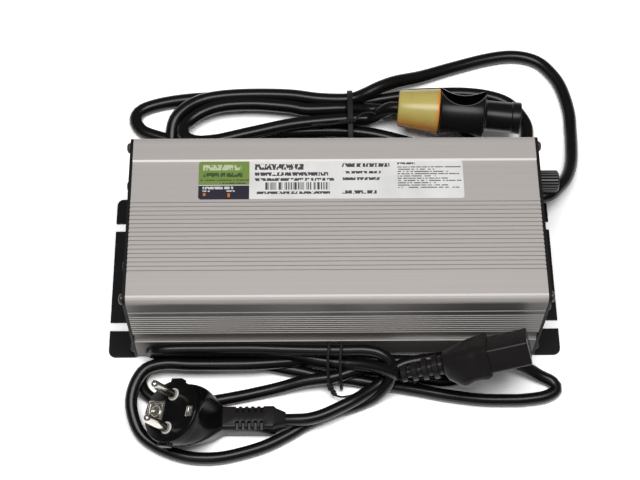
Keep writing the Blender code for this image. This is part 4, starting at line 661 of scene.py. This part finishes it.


# Painted shade: the amber is painted a deeper orange on its underside and at the edge next to the
# body.
amber = moulded("amber_moulding", (0.55, 0.45, 0.13), 0.28, 0.0008, 0.00001)
along_bushing, _ = from_axis(amber, CONNECTOR_START, CONNECTOR_AXIS)
amber_height = node(amber, "ShaderNodeSeparateXYZ", Vector=spot_on(amber))["Z"]
amber_painted_shade = worked_out(
    amber, "MAXIMUM", ranged(amber, amber_height, *AMBER_SHADE, 0.0, 1.0),
    ranged(amber, along_bushing, *AMBER_EDGE, 0.0, 1.0),
)
on_shader(amber, {"Base Color": blended(amber, amber_painted_shade, tone_so_far(amber), ORANGE_PAINTED_SHADE)})

# Painted shade: the waist is painted five times darker than the rest of the body. It is also seen
# at a low angle, where a sheen would turn it grey, so it has none.
connector_black = black_moulded("connector_black", *CONNECTOR_GLOSS)
grip_painted_waist_shade = black_moulded("grip_painted_waist_shade", *CONNECTOR_GLOSS)
_, grip_radius = from_axis(grip_painted_waist_shade, CONNECTOR_START, CONNECTOR_AXIS)
painted_light_tone(grip_painted_waist_shade, ranged(grip_painted_waist_shade, grip_radius, *WAIST_EDGE, 0.2, 1.0))
on_shader(grip_painted_waist_shade, {"IOR": ranged(grip_painted_waist_shade, grip_radius, *WAIST_EDGE, 1.0, 1.5)})
finished(bushing, amber, "amber", "connector_bushing")
finished(body, grip_painted_waist_shade, "black_plastic", "connector_body")
finished(nose, connector_black, "black_plastic", "connector_nose")

# Angled plug: a round face with two pins and both earth contacts, and a body that narrows into a
# square neck, slotted on both sides so that it bends. One moulding around the metal parts.
PLUG_FACE = Vector((-0.0909, -0.0946, 0.0270))
PLUG_PINS = Vector((-0.537, 0.010, 0.840)).normalized()
PLUG_ACROSS = Vector((-0.180, -0.970, -0.104))
PLUG_DIAMETER = 0.0355
PLUG_RIM = 0.005
PIN_SPACING = 0.019
PIN_LENGTH = 0.019
PIN_DIAMETER = 0.0048
EARTH_PLACE = 0.010
EARTH_FRAME = 0.0115
CLIP_PLACE = 0.0135
NECK_START = Vector((-0.0624, -0.0930, 0.0072))
NECK_AXIS = Vector((1.0, -0.02, 0.08)).normalized()
NECK_LENGTH = 0.028
NECK_TIP = 0.0065
NECK_WIDTH = 0.0135
NECK_HEIGHT = 0.012
SLOT_FLOOR = 0.0026
NECK_SLOTS = 5
FIRST_SLOT = 0.0079
SLOT_PITCH = 0.0034
SLOT_REACH = 0.0073
WELLS = (
    ("earth_well", (EARTH_FRAME + 0.0006, EARTH_FRAME + 0.0006, 0.018), -EARTH_PLACE),
    ("clip_well", (0.0066, 0.0046, 0.008), CLIP_PLACE),
)
NECK_PAINTED_SHEEN = 3.5
PLUG_STAGES = 9
CORNER_STEPS = 6


def rounded_ring(width, height, radius):
    """A rectangle with round corners, anticlockwise, as points of one flat ring."""
    points = []
    for sx, sy, start in ((1, -1, -90.0), (1, 1, 0.0), (-1, 1, 90.0), (-1, -1, 180.0)):
        for i in range(CORNER_STEPS + 1):
            turn = math.radians(start + 90.0 * i / CORNER_STEPS)
            x = sx * (width / 2.0 - radius) + radius * math.cos(turn)
            y = sy * (height / 2.0 - radius) + radius * math.sin(turn)
            points.append((x, y))
    return points


def skinned(name, rings):
    """A closed skin over rings that hold the same number of points."""
    mesh = bmesh.new()
    rows = [[mesh.verts.new(point) for point in ring] for ring in rings]
    for first, second in zip(rows, rows[1:]):
        for i in range(len(first)):
            j = (i + 1) % len(first)
            mesh.faces.new((first[i], first[j], second[j], second[i]))
    mesh.faces.new(list(reversed(rows[0])))
    mesh.faces.new(rows[-1])
    bmesh.ops.recalc_face_normals(mesh, faces=mesh.faces)
    data = bpy.data.meshes.new(name)
    mesh.to_mesh(data)
    mesh.free()
    made = bpy.data.objects.new(name, data)
    bpy.context.scene.collection.objects.link(made)
    return made


across_pins = (PLUG_ACROSS - PLUG_PINS * PLUG_ACROSS.dot(PLUG_PINS)).normalized()
across_earth = PLUG_PINS.cross(across_pins)
plug_turn = Matrix((across_pins, across_earth, PLUG_PINS)).transposed()
neck_side = NECK_AXIS.cross(Vector((0.0, 0.0, 1.0))).normalized()
neck_up = neck_side.cross(NECK_AXIS)


def placed_ring(centre, side, rise, width, height, corner):
    """A rounded ring around a centre, spread along two directions."""
    return [centre + side * x + rise * y for x, y in rounded_ring(width, height, corner)]


def plug_ring(depth, size):
    """A round of the plug's body, some way behind its face."""
    centre = PLUG_FACE - PLUG_PINS * depth
    return placed_ring(centre, across_pins, across_earth, size, size, size / 2.0 * 0.985)


def neck_ring(along, width, height, corner):
    """A square of the neck, some way along it."""
    centre = NECK_START + NECK_AXIS * along
    return placed_ring(centre, neck_side, neck_up, width, height, corner)


rings = [
    plug_ring(0.0, PLUG_DIAMETER - 0.0016), plug_ring(0.0003, PLUG_DIAMETER - 0.0006),
    plug_ring(0.0009, PLUG_DIAMETER), plug_ring(PLUG_RIM, PLUG_DIAMETER),
]
rim_centre = PLUG_FACE - PLUG_PINS * PLUG_RIM
for stage in range(1, PLUG_STAGES):
    share = stage / PLUG_STAGES
    centre = rim_centre.lerp(NECK_START, share)
    lean = across_pins.lerp(neck_side, share).normalized()
    rise = across_earth.lerp(neck_up, share).normalized()
    ease = share ** 2.2
    width = PLUG_DIAMETER + (NECK_WIDTH - PLUG_DIAMETER) * ease
    height = PLUG_DIAMETER + (NECK_HEIGHT - PLUG_DIAMETER) * share ** 0.7
    corner = min(width, height) * (0.49 - 0.30 * share)
    rings.append(placed_ring(centre, lean, rise, width, height, corner))
rings += [
    neck_ring(0.0, NECK_WIDTH, NECK_HEIGHT, 0.0020),
    neck_ring(NECK_LENGTH, NECK_WIDTH, NECK_HEIGHT, 0.0020),
    neck_ring(NECK_LENGTH + 0.0012, NECK_WIDTH - 0.0016, NECK_HEIGHT - 0.0012, 0.0028),
    neck_ring(NECK_LENGTH + NECK_TIP, 0.0086, 0.0086, 0.0041),
]
plug = skinned("plug_body_piece", rings)

cutters = []
for number in range(NECK_SLOTS):
    for side in (-1, 1):
        middle = NECK_START + NECK_AXIS * (FIRST_SLOT + number * SLOT_PITCH)
        middle += neck_side * side * SLOT_REACH
        slot = block("neck_slot", (0.0017, 0.0098, 0.03), (0.0, 0.0, 0.015 + SLOT_FLOOR))
        slot.data.transform(Matrix.Translation(middle) @ Matrix(
            (NECK_AXIS, -neck_side, neck_up)).transposed().to_4x4())
        cutters.append(slot)
for side in (-1, 1):
    hole = rod("pin_hole", 0.0036, 0.006, (side * PIN_SPACING / 2.0, 0.0, 0.0))
    laid(hole, PLUG_FACE, plug_turn)
    cutters.append(hole)
for name, size, place in WELLS:
    well = block(name, size, (0.0, place, 0.0))
    laid(well, PLUG_FACE, plug_turn)
    cutters.append(well)
carved(plug, cutters)
lugs = []
for side in (-1, 1):
    beside = (side * (PLUG_DIAMETER / 2.0), -0.0010, -0.0032)
    lug = block("plug_lug", (0.0030, 0.0075, 0.0046), beside)
    eased(lug, 0.0004)
    laid(lug, PLUG_FACE, plug_turn)
    lugs.append(lug)
plug = joined("plug_body_piece", [plug] + lugs)
eased(plug, 0.00025, 40.0)
shaded(plug)
plug_black_painted_sheen = black_moulded("plug_black_painted_sheen", (0.0045, 0.004, 0.004), 0.24, 0.0007, 0.00001, 0.15)
# Painted sheen: from the start of the neck onwards the black is painted 3.5 times lighter, standing
# in for the highlights on the neck's ridges.
along_neck, _ = from_axis(plug_black_painted_sheen, NECK_START, NECK_AXIS)
painted_light_tone(plug_black_painted_sheen, ranged(plug_black_painted_sheen, along_neck, -0.0010, 0.0010, 1.0, NECK_PAINTED_SHEEN))
finished(plug, plug_black_painted_sheen, "black_plastic", "plug_body")

# The pins, their collars and the earth contacts: nickel plate, with wear in small patches, and a
# pale collar around the foot of each pin.
nickel = moulded("nickel_plate", (0.66, 0.63, 0.58), 0.2, 0.0009, 0.00001, 0.08)
on_shader(nickel, {"Metallic": 1.0})
pale_collar = moulded("pale_collar", (0.62, 0.61, 0.58), 0.45, 0.0008, 0.00002)
for number, side in enumerate((-1, 1), 1):
    foot = PLUG_FACE + across_pins * side * PIN_SPACING / 2.0
    pin = drawn_up(f"plug_pin_{number}_piece", [
        (-0.0085, 0.0015), (-0.0085, PIN_DIAMETER / 2.0), (PIN_LENGTH - 0.0024, PIN_DIAMETER / 2.0),
        (PIN_LENGTH - 0.0014, 0.0022), (PIN_LENGTH - 0.0006, 0.0017), (PIN_LENGTH - 0.0001, 0.0009),
        (PIN_LENGTH, 0.0002),
    ], sides=40)
    shaded(pin)
    laid(pin, foot, plug_turn)
    finished(pin, nickel, "nickel", f"plug_pin_{number}")
    collar = drawn_up(f"plug_collar_{number}", [
        (-0.0028, 0.0026), (-0.0028, 0.0035), (0.0002, 0.0035), (0.0005, 0.0032), (0.0005, 0.0027),
        (-0.0026, 0.0026),
    ], sides=40)
    shaded(collar)
    laid(collar, foot, plug_turn)
    finished(collar, pale_collar, "black_plastic")

earth = block(
    "plug_earth_socket_piece", (EARTH_FRAME, EARTH_FRAME, 0.0090), (0.0, -EARTH_PLACE, -0.0041)
)
dish = block("earth_dish", (0.0085, 0.0085, 0.0024), (0.0, -EARTH_PLACE, 0.0004))
hole = rod("earth_hole", 0.0025, 0.02, (0.0, -EARTH_PLACE, 0.004))
carved(earth, [dish, hole])
ring = drawn_up("earth_ring", [
    (-0.004, 0.0026), (0.0, 0.0026), (0.0002, 0.0030), (0.0, 0.0034), (-0.0010, 0.0035),
    (-0.0010, 0.0015),
], sides=40)
ring.data.transform(Matrix.Translation((0.0, -EARTH_PLACE, 0.0)))
earth = joined("plug_earth_socket_piece", [earth, ring])
eased(earth, 0.0003)
shaded(earth)
laid(earth, PLUG_FACE, plug_turn)
finished(earth, nickel, "nickel", "plug_earth_socket")

clip = block("plug_earth_clip_piece", (0.0060, 0.0040, 0.0041), (0.0, CLIP_PLACE, -0.0016))
groove = block("clip_groove", (0.0040, 0.0010, 0.0030), (0.0, CLIP_PLACE, 0.0006))
carved(clip, [groove])
eased(clip, 0.0003)
shaded(clip)
laid(clip, PLUG_FACE, plug_turn)
finished(clip, nickel, "nickel", "plug_earth_clip")

# Socket connector: a flat mating block with three contact slots, a waisted grip and a ribbed relief
# that tapers onto the lead. One satin moulding.
SOCKET_END = Vector((0.1047, -0.0652, 0.0443))
SOCKET_AXIS = -Vector((0.956, 0.108, 0.273)).normalized()
SOCKET_FACE = Vector((-0.264, 0.72, 0.642))
SOCKET_WIDTH = 0.023
SOCKET_HEIGHT = 0.0144
SOCKET_LENGTH = 0.022
GRIP_WIDTH = 0.028
GRIP_HEIGHT = 0.019
GRIP_LENGTH = 0.024
RELIEF_LENGTH = 0.0262
GRIP_STEPS = 12
FINGER_STOP = ((0.0, 0.0008), (0.35, 0.0012), (0.68, 0.0046), (1.0, 0.0016))
RIBS = 4
RIB_SHAPE = ((0.05, 0.0036), (0.38, 0.0036), (0.44, 0.0005), (0.50, 0.0), (0.92, 0.0003))
CONTACT_SLOTS = ((-0.0070, -0.0016), (0.0070, -0.0016), (0.0, 0.0024))

socket_up = (SOCKET_FACE - SOCKET_AXIS * SOCKET_FACE.dot(SOCKET_AXIS)).normalized()
socket_side = SOCKET_AXIS.cross(socket_up)


def socket_ring(back, width, height, corner, sag=0.0):
    """A ring across the connector, with its underside lowered by the sag."""
    centre = SOCKET_END + SOCKET_AXIS * back - socket_up * sag / 2.0
    height += sag
    return placed_ring(centre, socket_side, socket_up, width, height, corner)


def finger_stop(share):
    """How far the grip's underside stands out: a shallow dip, then a stop for the finger."""
    for (start, low), (end, high) in zip(FINGER_STOP, FINGER_STOP[1:]):
        if share <= end:
            part = (share - start) / (end - start)
            return low + (high - low) * part * part * (3.0 - 2.0 * part)
    return FINGER_STOP[-1][1]


rings = [
    socket_ring(0.0, SOCKET_WIDTH - 0.0012, SOCKET_HEIGHT - 0.0012, 0.0016),
    socket_ring(0.0002, SOCKET_WIDTH - 0.0004, SOCKET_HEIGHT - 0.0004, 0.0019),
    socket_ring(0.0008, SOCKET_WIDTH, SOCKET_HEIGHT, 0.0020),
    socket_ring(SOCKET_LENGTH, SOCKET_WIDTH, SOCKET_HEIGHT, 0.0020),
    socket_ring(SOCKET_LENGTH + 0.0002, GRIP_WIDTH - 0.0012, GRIP_HEIGHT - 0.0012, 0.0030),
    socket_ring(SOCKET_LENGTH + 0.0012, GRIP_WIDTH, GRIP_HEIGHT, 0.0036),
]
for number in range(1, GRIP_STEPS + 1):
    share = number / GRIP_STEPS
    waist = 1.0 - 0.42 * share ** 1.6 - 0.055 * math.sin(math.pi * min(1.0, share * 2.1)) ** 2
    flat = 1.0 - 0.26 * share ** 1.6
    rings.append(socket_ring(
        SOCKET_LENGTH + 0.0012 + (GRIP_LENGTH - 0.0012) * share,
        GRIP_WIDTH * waist, GRIP_HEIGHT * flat, 0.0036 + 0.002 * share, finger_stop(share),
    ))
rings.append(socket_ring(SOCKET_LENGTH + GRIP_LENGTH + 0.0012, 0.0150, 0.0132, 0.0055))
relief_start = SOCKET_LENGTH + GRIP_LENGTH + 0.0022
pitch = (SOCKET_LENGTH + GRIP_LENGTH + RELIEF_LENGTH - relief_start) / RIBS
for rib in range(RIBS):
    size = 0.0136 - 0.0044 * rib / (RIBS - 1)
    foot = relief_start + rib * pitch
    for along, less in RIB_SHAPE:
        wide = size - less
        rings.append(socket_ring(foot + pitch * along, wide, wide, wide * 0.48))
socket = skinned("socket_connector_piece", rings)
slots = []
for x, y in CONTACT_SLOTS:
    slot = block("contact_slot", (0.0028, 0.0050, 0.036), (-x, y, 0.0))
    slot.data.transform(Matrix.Translation(SOCKET_END) @ Matrix(
        (-socket_side, socket_up, SOCKET_AXIS)).transposed().to_4x4())
    slots.append(slot)
carved(socket, slots)
shaded(socket)
# It shares the plug's finish and lies beyond the start of the neck, so it too is painted 3.5 times
# lighter as painted sheen.
finished(socket, plug_black_painted_sheen, "black_plastic", "socket_connector")

# Case: one length of finned aluminium extrusion, sawn off and anodised in its natural colour. The
# die leaves fine lines along it, and they make the gloss run lengthwise.
DIE_LINES = (0.6, 1100.0, 1100.0)


def streaks(made, scale, detail):
    """Noise in a finish, drawn out by a different scale in each direction."""
    stretched = node(made, "ShaderNodeMapping", Vector=spot_on(made), Scale=scale)["Vector"]
    return node(made, "ShaderNodeTexNoise", Vector=stretched, Scale=1.0, Detail=detail)["Fac"]


def anodised(name, colour, roughness, metal, spread):
    """Aluminium with fine lines along its length, as a die or a saw leaves them."""
    made = started(name)
    lines = streaks(made, DIE_LINES, 3.0)
    bump = node(made, "ShaderNodeBump", Height=lines, Strength=0.15, Distance=0.00001)
    on_shader(made, {
        "Base Color": toned(made, lines, colour, 0.05), "Normal": bump["Normal"],
        "Roughness": ranged(made, lines, 0.0, 1.0, roughness - spread, roughness + spread),
        "Metallic": metal,
    })
    return made


def dress(finish, *names, smooth=0.0):
    """Gives nodes of the part their finish, and where it says so smooths their curved faces."""
    for name in names:
        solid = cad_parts[name]
        solid.data.materials.clear()
        solid.data.materials.append(finish)
        if smooth:
            shaded(solid, smooth)


# Painted light on the case: on the long sides the groove flanks and the seam are painted lighter as
# highlights and the plain bands darker as shade, and the recess's rear edge on top is painted
# lighter as a highlight.
SIDE_FROM = 0.0490
SIDE_FADE = (0.0730, 0.0695)
COVE = (0.0218, 0.0314)
SEAM = (0.0600, 0.0608)
RIBBED = (0.0320, 0.0556)
GROOVE_PITCH = 0.0026
FLANK = (0.24, 0.50)
LIP = (0.03515, 0.03605)
LIP_FOOT = 0.0725
FLANK_PAINTED_HIGHLIGHT = 2.1
PLAIN_PAINTED_SHADE = 0.42


def between(made, value, low, high):
    """For a finish: 1 where a value lies between two limits, else 0."""
    return worked_out(made, "COMPARE", value, (low + high) / 2.0, (high - low) / 2.0)


def painted_highlights_and_shade(made):
    """Painted highlights on the groove flanks, the seam and the recess's rear edge, and painted
    shade on the plain side bands.
    """
    def step(operation, *values):
        """One step of arithmetic in this finish."""
        return worked_out(made, operation, *values)

    parted = node(made, "ShaderNodeSeparateXYZ", Vector=spot_on(made))
    height = parted["Z"]
    beside = step("GREATER_THAN", step("ABSOLUTE", parted["Y"]), SIDE_FROM)
    on_side = step("MULTIPLY", beside, ranged(made, height, *SIDE_FADE, 0.0, 1.0))
    turns = step("DIVIDE", step("SUBTRACT", height, RIBBED[1]), -GROOVE_PITCH)
    on_flank = between(made, step("FRACT", turns), *FLANK)
    on_rib = step("MULTIPLY", between(made, height, *RIBBED), on_flank)
    flank = step("MAXIMUM", between(made, height, *SEAM), on_rib)
    neither = step("MULTIPLY_ADD", step("MAXIMUM", flank, between(made, height, *COVE)), -1.0, 1.0)
    plain = step("MULTIPLY", on_side, neither)
    flank = step("MULTIPLY", on_side, flank)
    above = step("GREATER_THAN", height, LIP_FOOT)
    on_lip = step("MULTIPLY", between(made, parted["Y"], *LIP), above)
    gain = step("MULTIPLY_ADD", flank, FLANK_PAINTED_HIGHLIGHT - 1.0, 1.0)
    gain = step("MULTIPLY_ADD", plain, PLAIN_PAINTED_SHADE - 1.0, gain)
    gain = step("MULTIPLY_ADD", on_lip, FLANK_PAINTED_HIGHLIGHT - 1.0, gain)
    painted_light_tone(made, gain)
    on_shader(made, {"Specular IOR Level": 0.3})
    return made


extrusion = anodised("anodised_extrusion", (0.49, 0.46, 0.44), 0.34, 0.15, 0.04)
dress(painted_highlights_and_shade(extrusion), "case_shell", smooth=20.0)

# End plates: folded steel sheet in black powder coat, each in one piece with its mounting ears,
# which stand out at the foot and take a screw in every open slot.
powder = black_moulded("black_powder_coat", (0.010, 0.0095, 0.0095), 0.5, 0.0012, 0.00006)
dress(powder, "left_end_plate", "right_end_plate")

# Screws: oxide-blackened steel pan heads, four through each end plate into the case's screw
# channels, and two that hold the mains inlet.
blackened = black_moulded("blackened_steel", (0.03, 0.03, 0.03), 0.35, 0.0005, 0.00002, 0.5)
PLATE_SCREWS = [
    f"{side}_plate_screw_{number}" for side in ("left", "right") for number in range(1, 5)
]
dress(blackened, *PLATE_SCREWS, "inlet_screw_1", "inlet_screw_2", smooth=35.0)

# Right end plate's fittings: the mains inlet, the fuse holder with its finely ridged cap, and the
# relief where the output lead comes out. Black mouldings with a faint grain.
CAP_FOOT = Vector((0.1118, 0.0350, 0.0500))
CAP_RADIUS = 0.0063
CAP_LENGTH = 0.0162
CAP_RIDGES = 22
CAP_AXIS = (1.0, 0.0, 0.0)
RIDGE_EDGE = (CAP_RADIUS - 0.0004, CAP_RADIUS - 0.0001)
RIDGE_PAINTED_HIGHLIGHT = 14.0
fitting_black = black_moulded("fitting_black", (0.014, 0.013, 0.013), 0.4, 0.0008, 0.00003)
dress(fitting_black, "inlet_socket", "fuse_holder", "lead_relief", smooth=35.0)
cap = drawn_up("fuse_cap_piece", [
    (0.0, 0.0040), (0.0, 0.0050), (0.0030, 0.0050), (0.0030, 0.0056), (0.0034, CAP_RADIUS),
    (CAP_LENGTH - 0.0010, CAP_RADIUS), (CAP_LENGTH, CAP_RADIUS - 0.0010),
], sides=4 * CAP_RIDGES)
valleys = []
for number in range(CAP_RIDGES):
    turn = 2.0 * math.pi * number / CAP_RIDGES
    valleys.append(rod("cap_valley", 0.00066, CAP_LENGTH, (
        CAP_RADIUS * math.cos(turn), CAP_RADIUS * math.sin(turn), 0.0038 + CAP_LENGTH / 2.0,
    ), sides=6))
carved(cap, [joined("cap_valleys", valleys)])
shaded(cap, 25.0)
laid(cap, CAP_FOOT, turn_to(CAP_AXIS))
# Painted highlight and shade: the ridge tops are painted up to fourteen times lighter than the
# valleys between them.
ridged_black_painted_highlights = black_moulded("ridged_black_painted_highlights", (0.010, 0.0095, 0.0095), 0.3, 0.0008, 0.00003, 0.4)
_, cap_radius = from_axis(ridged_black_painted_highlights, CAP_FOOT, CAP_AXIS)
painted_light_tone(ridged_black_painted_highlights, ranged(ridged_black_painted_highlights, cap_radius, *RIDGE_EDGE, 1.0, RIDGE_PAINTED_HIGHLIGHT))
finished(cap, ridged_black_painted_highlights, "black_plastic", "fuse_cap")

# Inlet pins: three flat blades of nickel-plated brass, stamped from sheet and pressed into the
# inlet from behind.
dress(nickel, "inlet_earth_pin", "inlet_live_pin", "inlet_neutral_pin")

# Fuse: a glass tube with its two metal end caps, clipped inside the holder. It is closed in, so the
# tube and the caps share one greyish finish.
dress(moulded("fuse_tube", (0.42, 0.43, 0.43), 0.18, 0.0010, 0.00001), "fuse", smooth=35.0)

# Fan: a square moulded frame behind the round grille, and a seven-bladed rotor that turns on its
# motor. Both are in matt black plastic.
fan_black = black_moulded("fan_black", (0.013, 0.013, 0.013), 0.5, 0.0009, 0.00004)
dress(fan_black, "fan_frame", "fan_rotor", smooth=30.0)

# Lamps: two small domed lenses in clear tinted plastic, pushed through the end plate, red for
# charging and green for full.
for colour, tint in (("red", (0.42, 0.015, 0.012)), ("green", (0.03, 0.32, 0.05))):
    lens = moulded(f"{colour}_lens", tint, 0.15, 0.0010, 0.00001, 0.03)
    dress(lens, f"{colour}_lamp", smooth=40.0)

# Circuit board: glass-fibre laminate under green solder mask, pushed into the pair of ribs on each
# side wall. The weave shows faintly through the mask.
dress(moulded("solder_mask", (0.02, 0.13, 0.05), 0.35, 0.0014, 0.00002), "circuit_board")

# Insulation sheet: a strip of pale, slightly cloudy film, cut from the roll. It lies between the
# heat bar and the devices and keeps them apart electrically.
dress(moulded("insulating_film", (0.55, 0.52, 0.44), 0.3, 0.0020, 0.00001), "insulation_sheet")

# Heat bar: a sawn strip of bare aluminium that takes the heat of the four devices to the case. The
# saw leaves lines along it.
dress(anodised("sawn_aluminium", (0.62, 0.62, 0.62), 0.34, 1.0, 0.08), "heat_bar")

# Power devices: four packages of black moulded resin with a metal back. They stand on the board by
# their legs and are clamped on the heat bar.
device_resin = black_moulded("device_resin", (0.02, 0.02, 0.021), 0.55, 0.0005, 0.00004)
dress(device_resin, "power_transistor_1", "power_transistor_2", "output_rectifier",
      "bridge_rectifier")

# Transformer and choke: dark grey pressed ferrite cores, a former wound under yellow film tape, and
# a bare winding of enamelled copper on the ring.
dress(moulded("pressed_ferrite", (0.035, 0.034, 0.034), 0.6, 0.0006, 0.00008),
      "transformer_core", "choke_core", smooth=35.0)
dress(moulded("yellow_tape", (0.70, 0.48, 0.06), 0.3, 0.0030, 0.00003), "transformer_winding")
dress(moulded("enamelled_copper", (0.42, 0.13, 0.05), 0.28, 0.0012, 0.00002),
      "choke_winding", smooth=35.0)

# Capacitors: aluminium cans in a shrunk sleeve, dark blue on the large one and black-brown on the
# small one, standing on the board by their leads.
dress(moulded("blue_sleeve", (0.02, 0.035, 0.11), 0.3, 0.0012, 0.00002),
      "bulk_capacitor", smooth=35.0)
dress(moulded("dark_sleeve", (0.035, 0.028, 0.022), 0.3, 0.0012, 0.00002),
      "output_capacitor", smooth=35.0)

# Label: a printed white film on the flat of the case. A green and a navy panel stand at the left
# and rows of small print in two and a half columns beside them, all as plain bars without words.
PAPER = (0.74, 0.735, 0.72)
INK = (0.055, 0.052, 0.060)
GREEN = (0.165, 0.255, 0.045)
DARK_GREEN = (0.035, 0.075, 0.020)
PALE_GREEN = (0.50, 0.56, 0.38)
NAVY = (0.010, 0.009, 0.024)
WHITE_INK = (0.62, 0.61, 0.62)
ORANGE = (0.60, 0.17, 0.02)
PANELS = (
    (-75.5, -47.5, 20.0, 35.0, GREEN), (-75.5, -47.5, 11.0, 19.6, NAVY),
    (-72.9, -71.5, 13.1, 14.9, ORANGE), (-59.4, -58.1, 12.3, 14.7, ORANGE),
)
GREEN_PRINT = ((-73.2, -52.0, 29.3, 32.8, PALE_GREEN), (-72.9, -51.3, 25.0, 27.7, DARK_GREEN))
PALE_PRINT = ((-73.2, -56.4, 17.3, 18.9), (-73.2, -69.2, 15.7, 16.5), (-60.0, -55.5, 15.7, 16.5))
BOLD_PRINT = (
    (-44.5, -17.4, 29.5, 33.2), (-44.5, -3.9, 25.6, 27.9), (-44.5, -0.6, 22.4, 24.2),
    (-43.4, -3.0, 14.1, 15.7), (3.8, 30.3, 31.1, 33.5), (3.8, 26.5, 26.9, 28.5),
    (3.8, 25.4, 22.7, 24.5), (3.8, 22.7, 14.1, 16.2), (34.6, 44.4, 32.7, 33.9),
)
STRIPES = (-38.8, -3.2, 16.8, 21.5)
LINE_PITCH = 1.45
THIN_PRINT = ((-75.5, -47.5, 22.7, 23.4), (-63.6, -49.4, 20.6, 21.4)) + tuple(
    (34.6, 69.8 - 7.0 * (row % 3), 17.6 + LINE_PITCH * row, 18.2 + LINE_PITCH * row)
    for row in range(10)
)
LETTER_GAPS = 0.42
LETTERS = (900.0, 420.0, 0.0)
THIN_LINES = (1500.0, 0.0, 0.0)
THIN_GAPS = 0.5


def printed_label():
    """The film, with every bar as a box between two X and two Y, broken up like lettering."""
    made = moulded("printed_film", PAPER, 0.45, 0.0008, 0.00001)
    parted = node(made, "ShaderNodeSeparateXYZ", Vector=spot_on(made))
    lettering = worked_out(made, "GREATER_THAN", streaks(made, LETTERS, 0.0), LETTER_GAPS)
    upright = worked_out(made, "GREATER_THAN", streaks(made, THIN_LINES, 0.0), THIN_GAPS)

    def both(first, second):
        """1 where both are 1."""
        return worked_out(made, "MULTIPLY", first, second)

    def bar(below, box, ink, broken=None):
        """Prints one bar, whole or broken up, over the colours below it."""
        low_x, high_x, low_y, high_y = (side / 1000.0 for side in box)
        mask = both(
            between(made, parted["X"], low_x, high_x), between(made, parted["Y"], low_y, high_y)
        )
        if broken is not None:
            mask = both(mask, broken)
        return blended(made, mask, below, (*ink, 1.0))

    colour = tone_so_far(made)
    for *box, ink in PANELS:
        colour = bar(colour, box, ink)
    for *box, ink in GREEN_PRINT:
        colour = bar(colour, box, ink, lettering)
    for box in PALE_PRINT:
        colour = bar(colour, box, WHITE_INK, lettering)
    for box in BOLD_PRINT + THIN_PRINT:
        colour = bar(colour, box, INK, lettering)
    on_shader(made, {"Base Color": bar(colour, STRIPES, INK, upright)})
    return made


dress(printed_label(), "label")
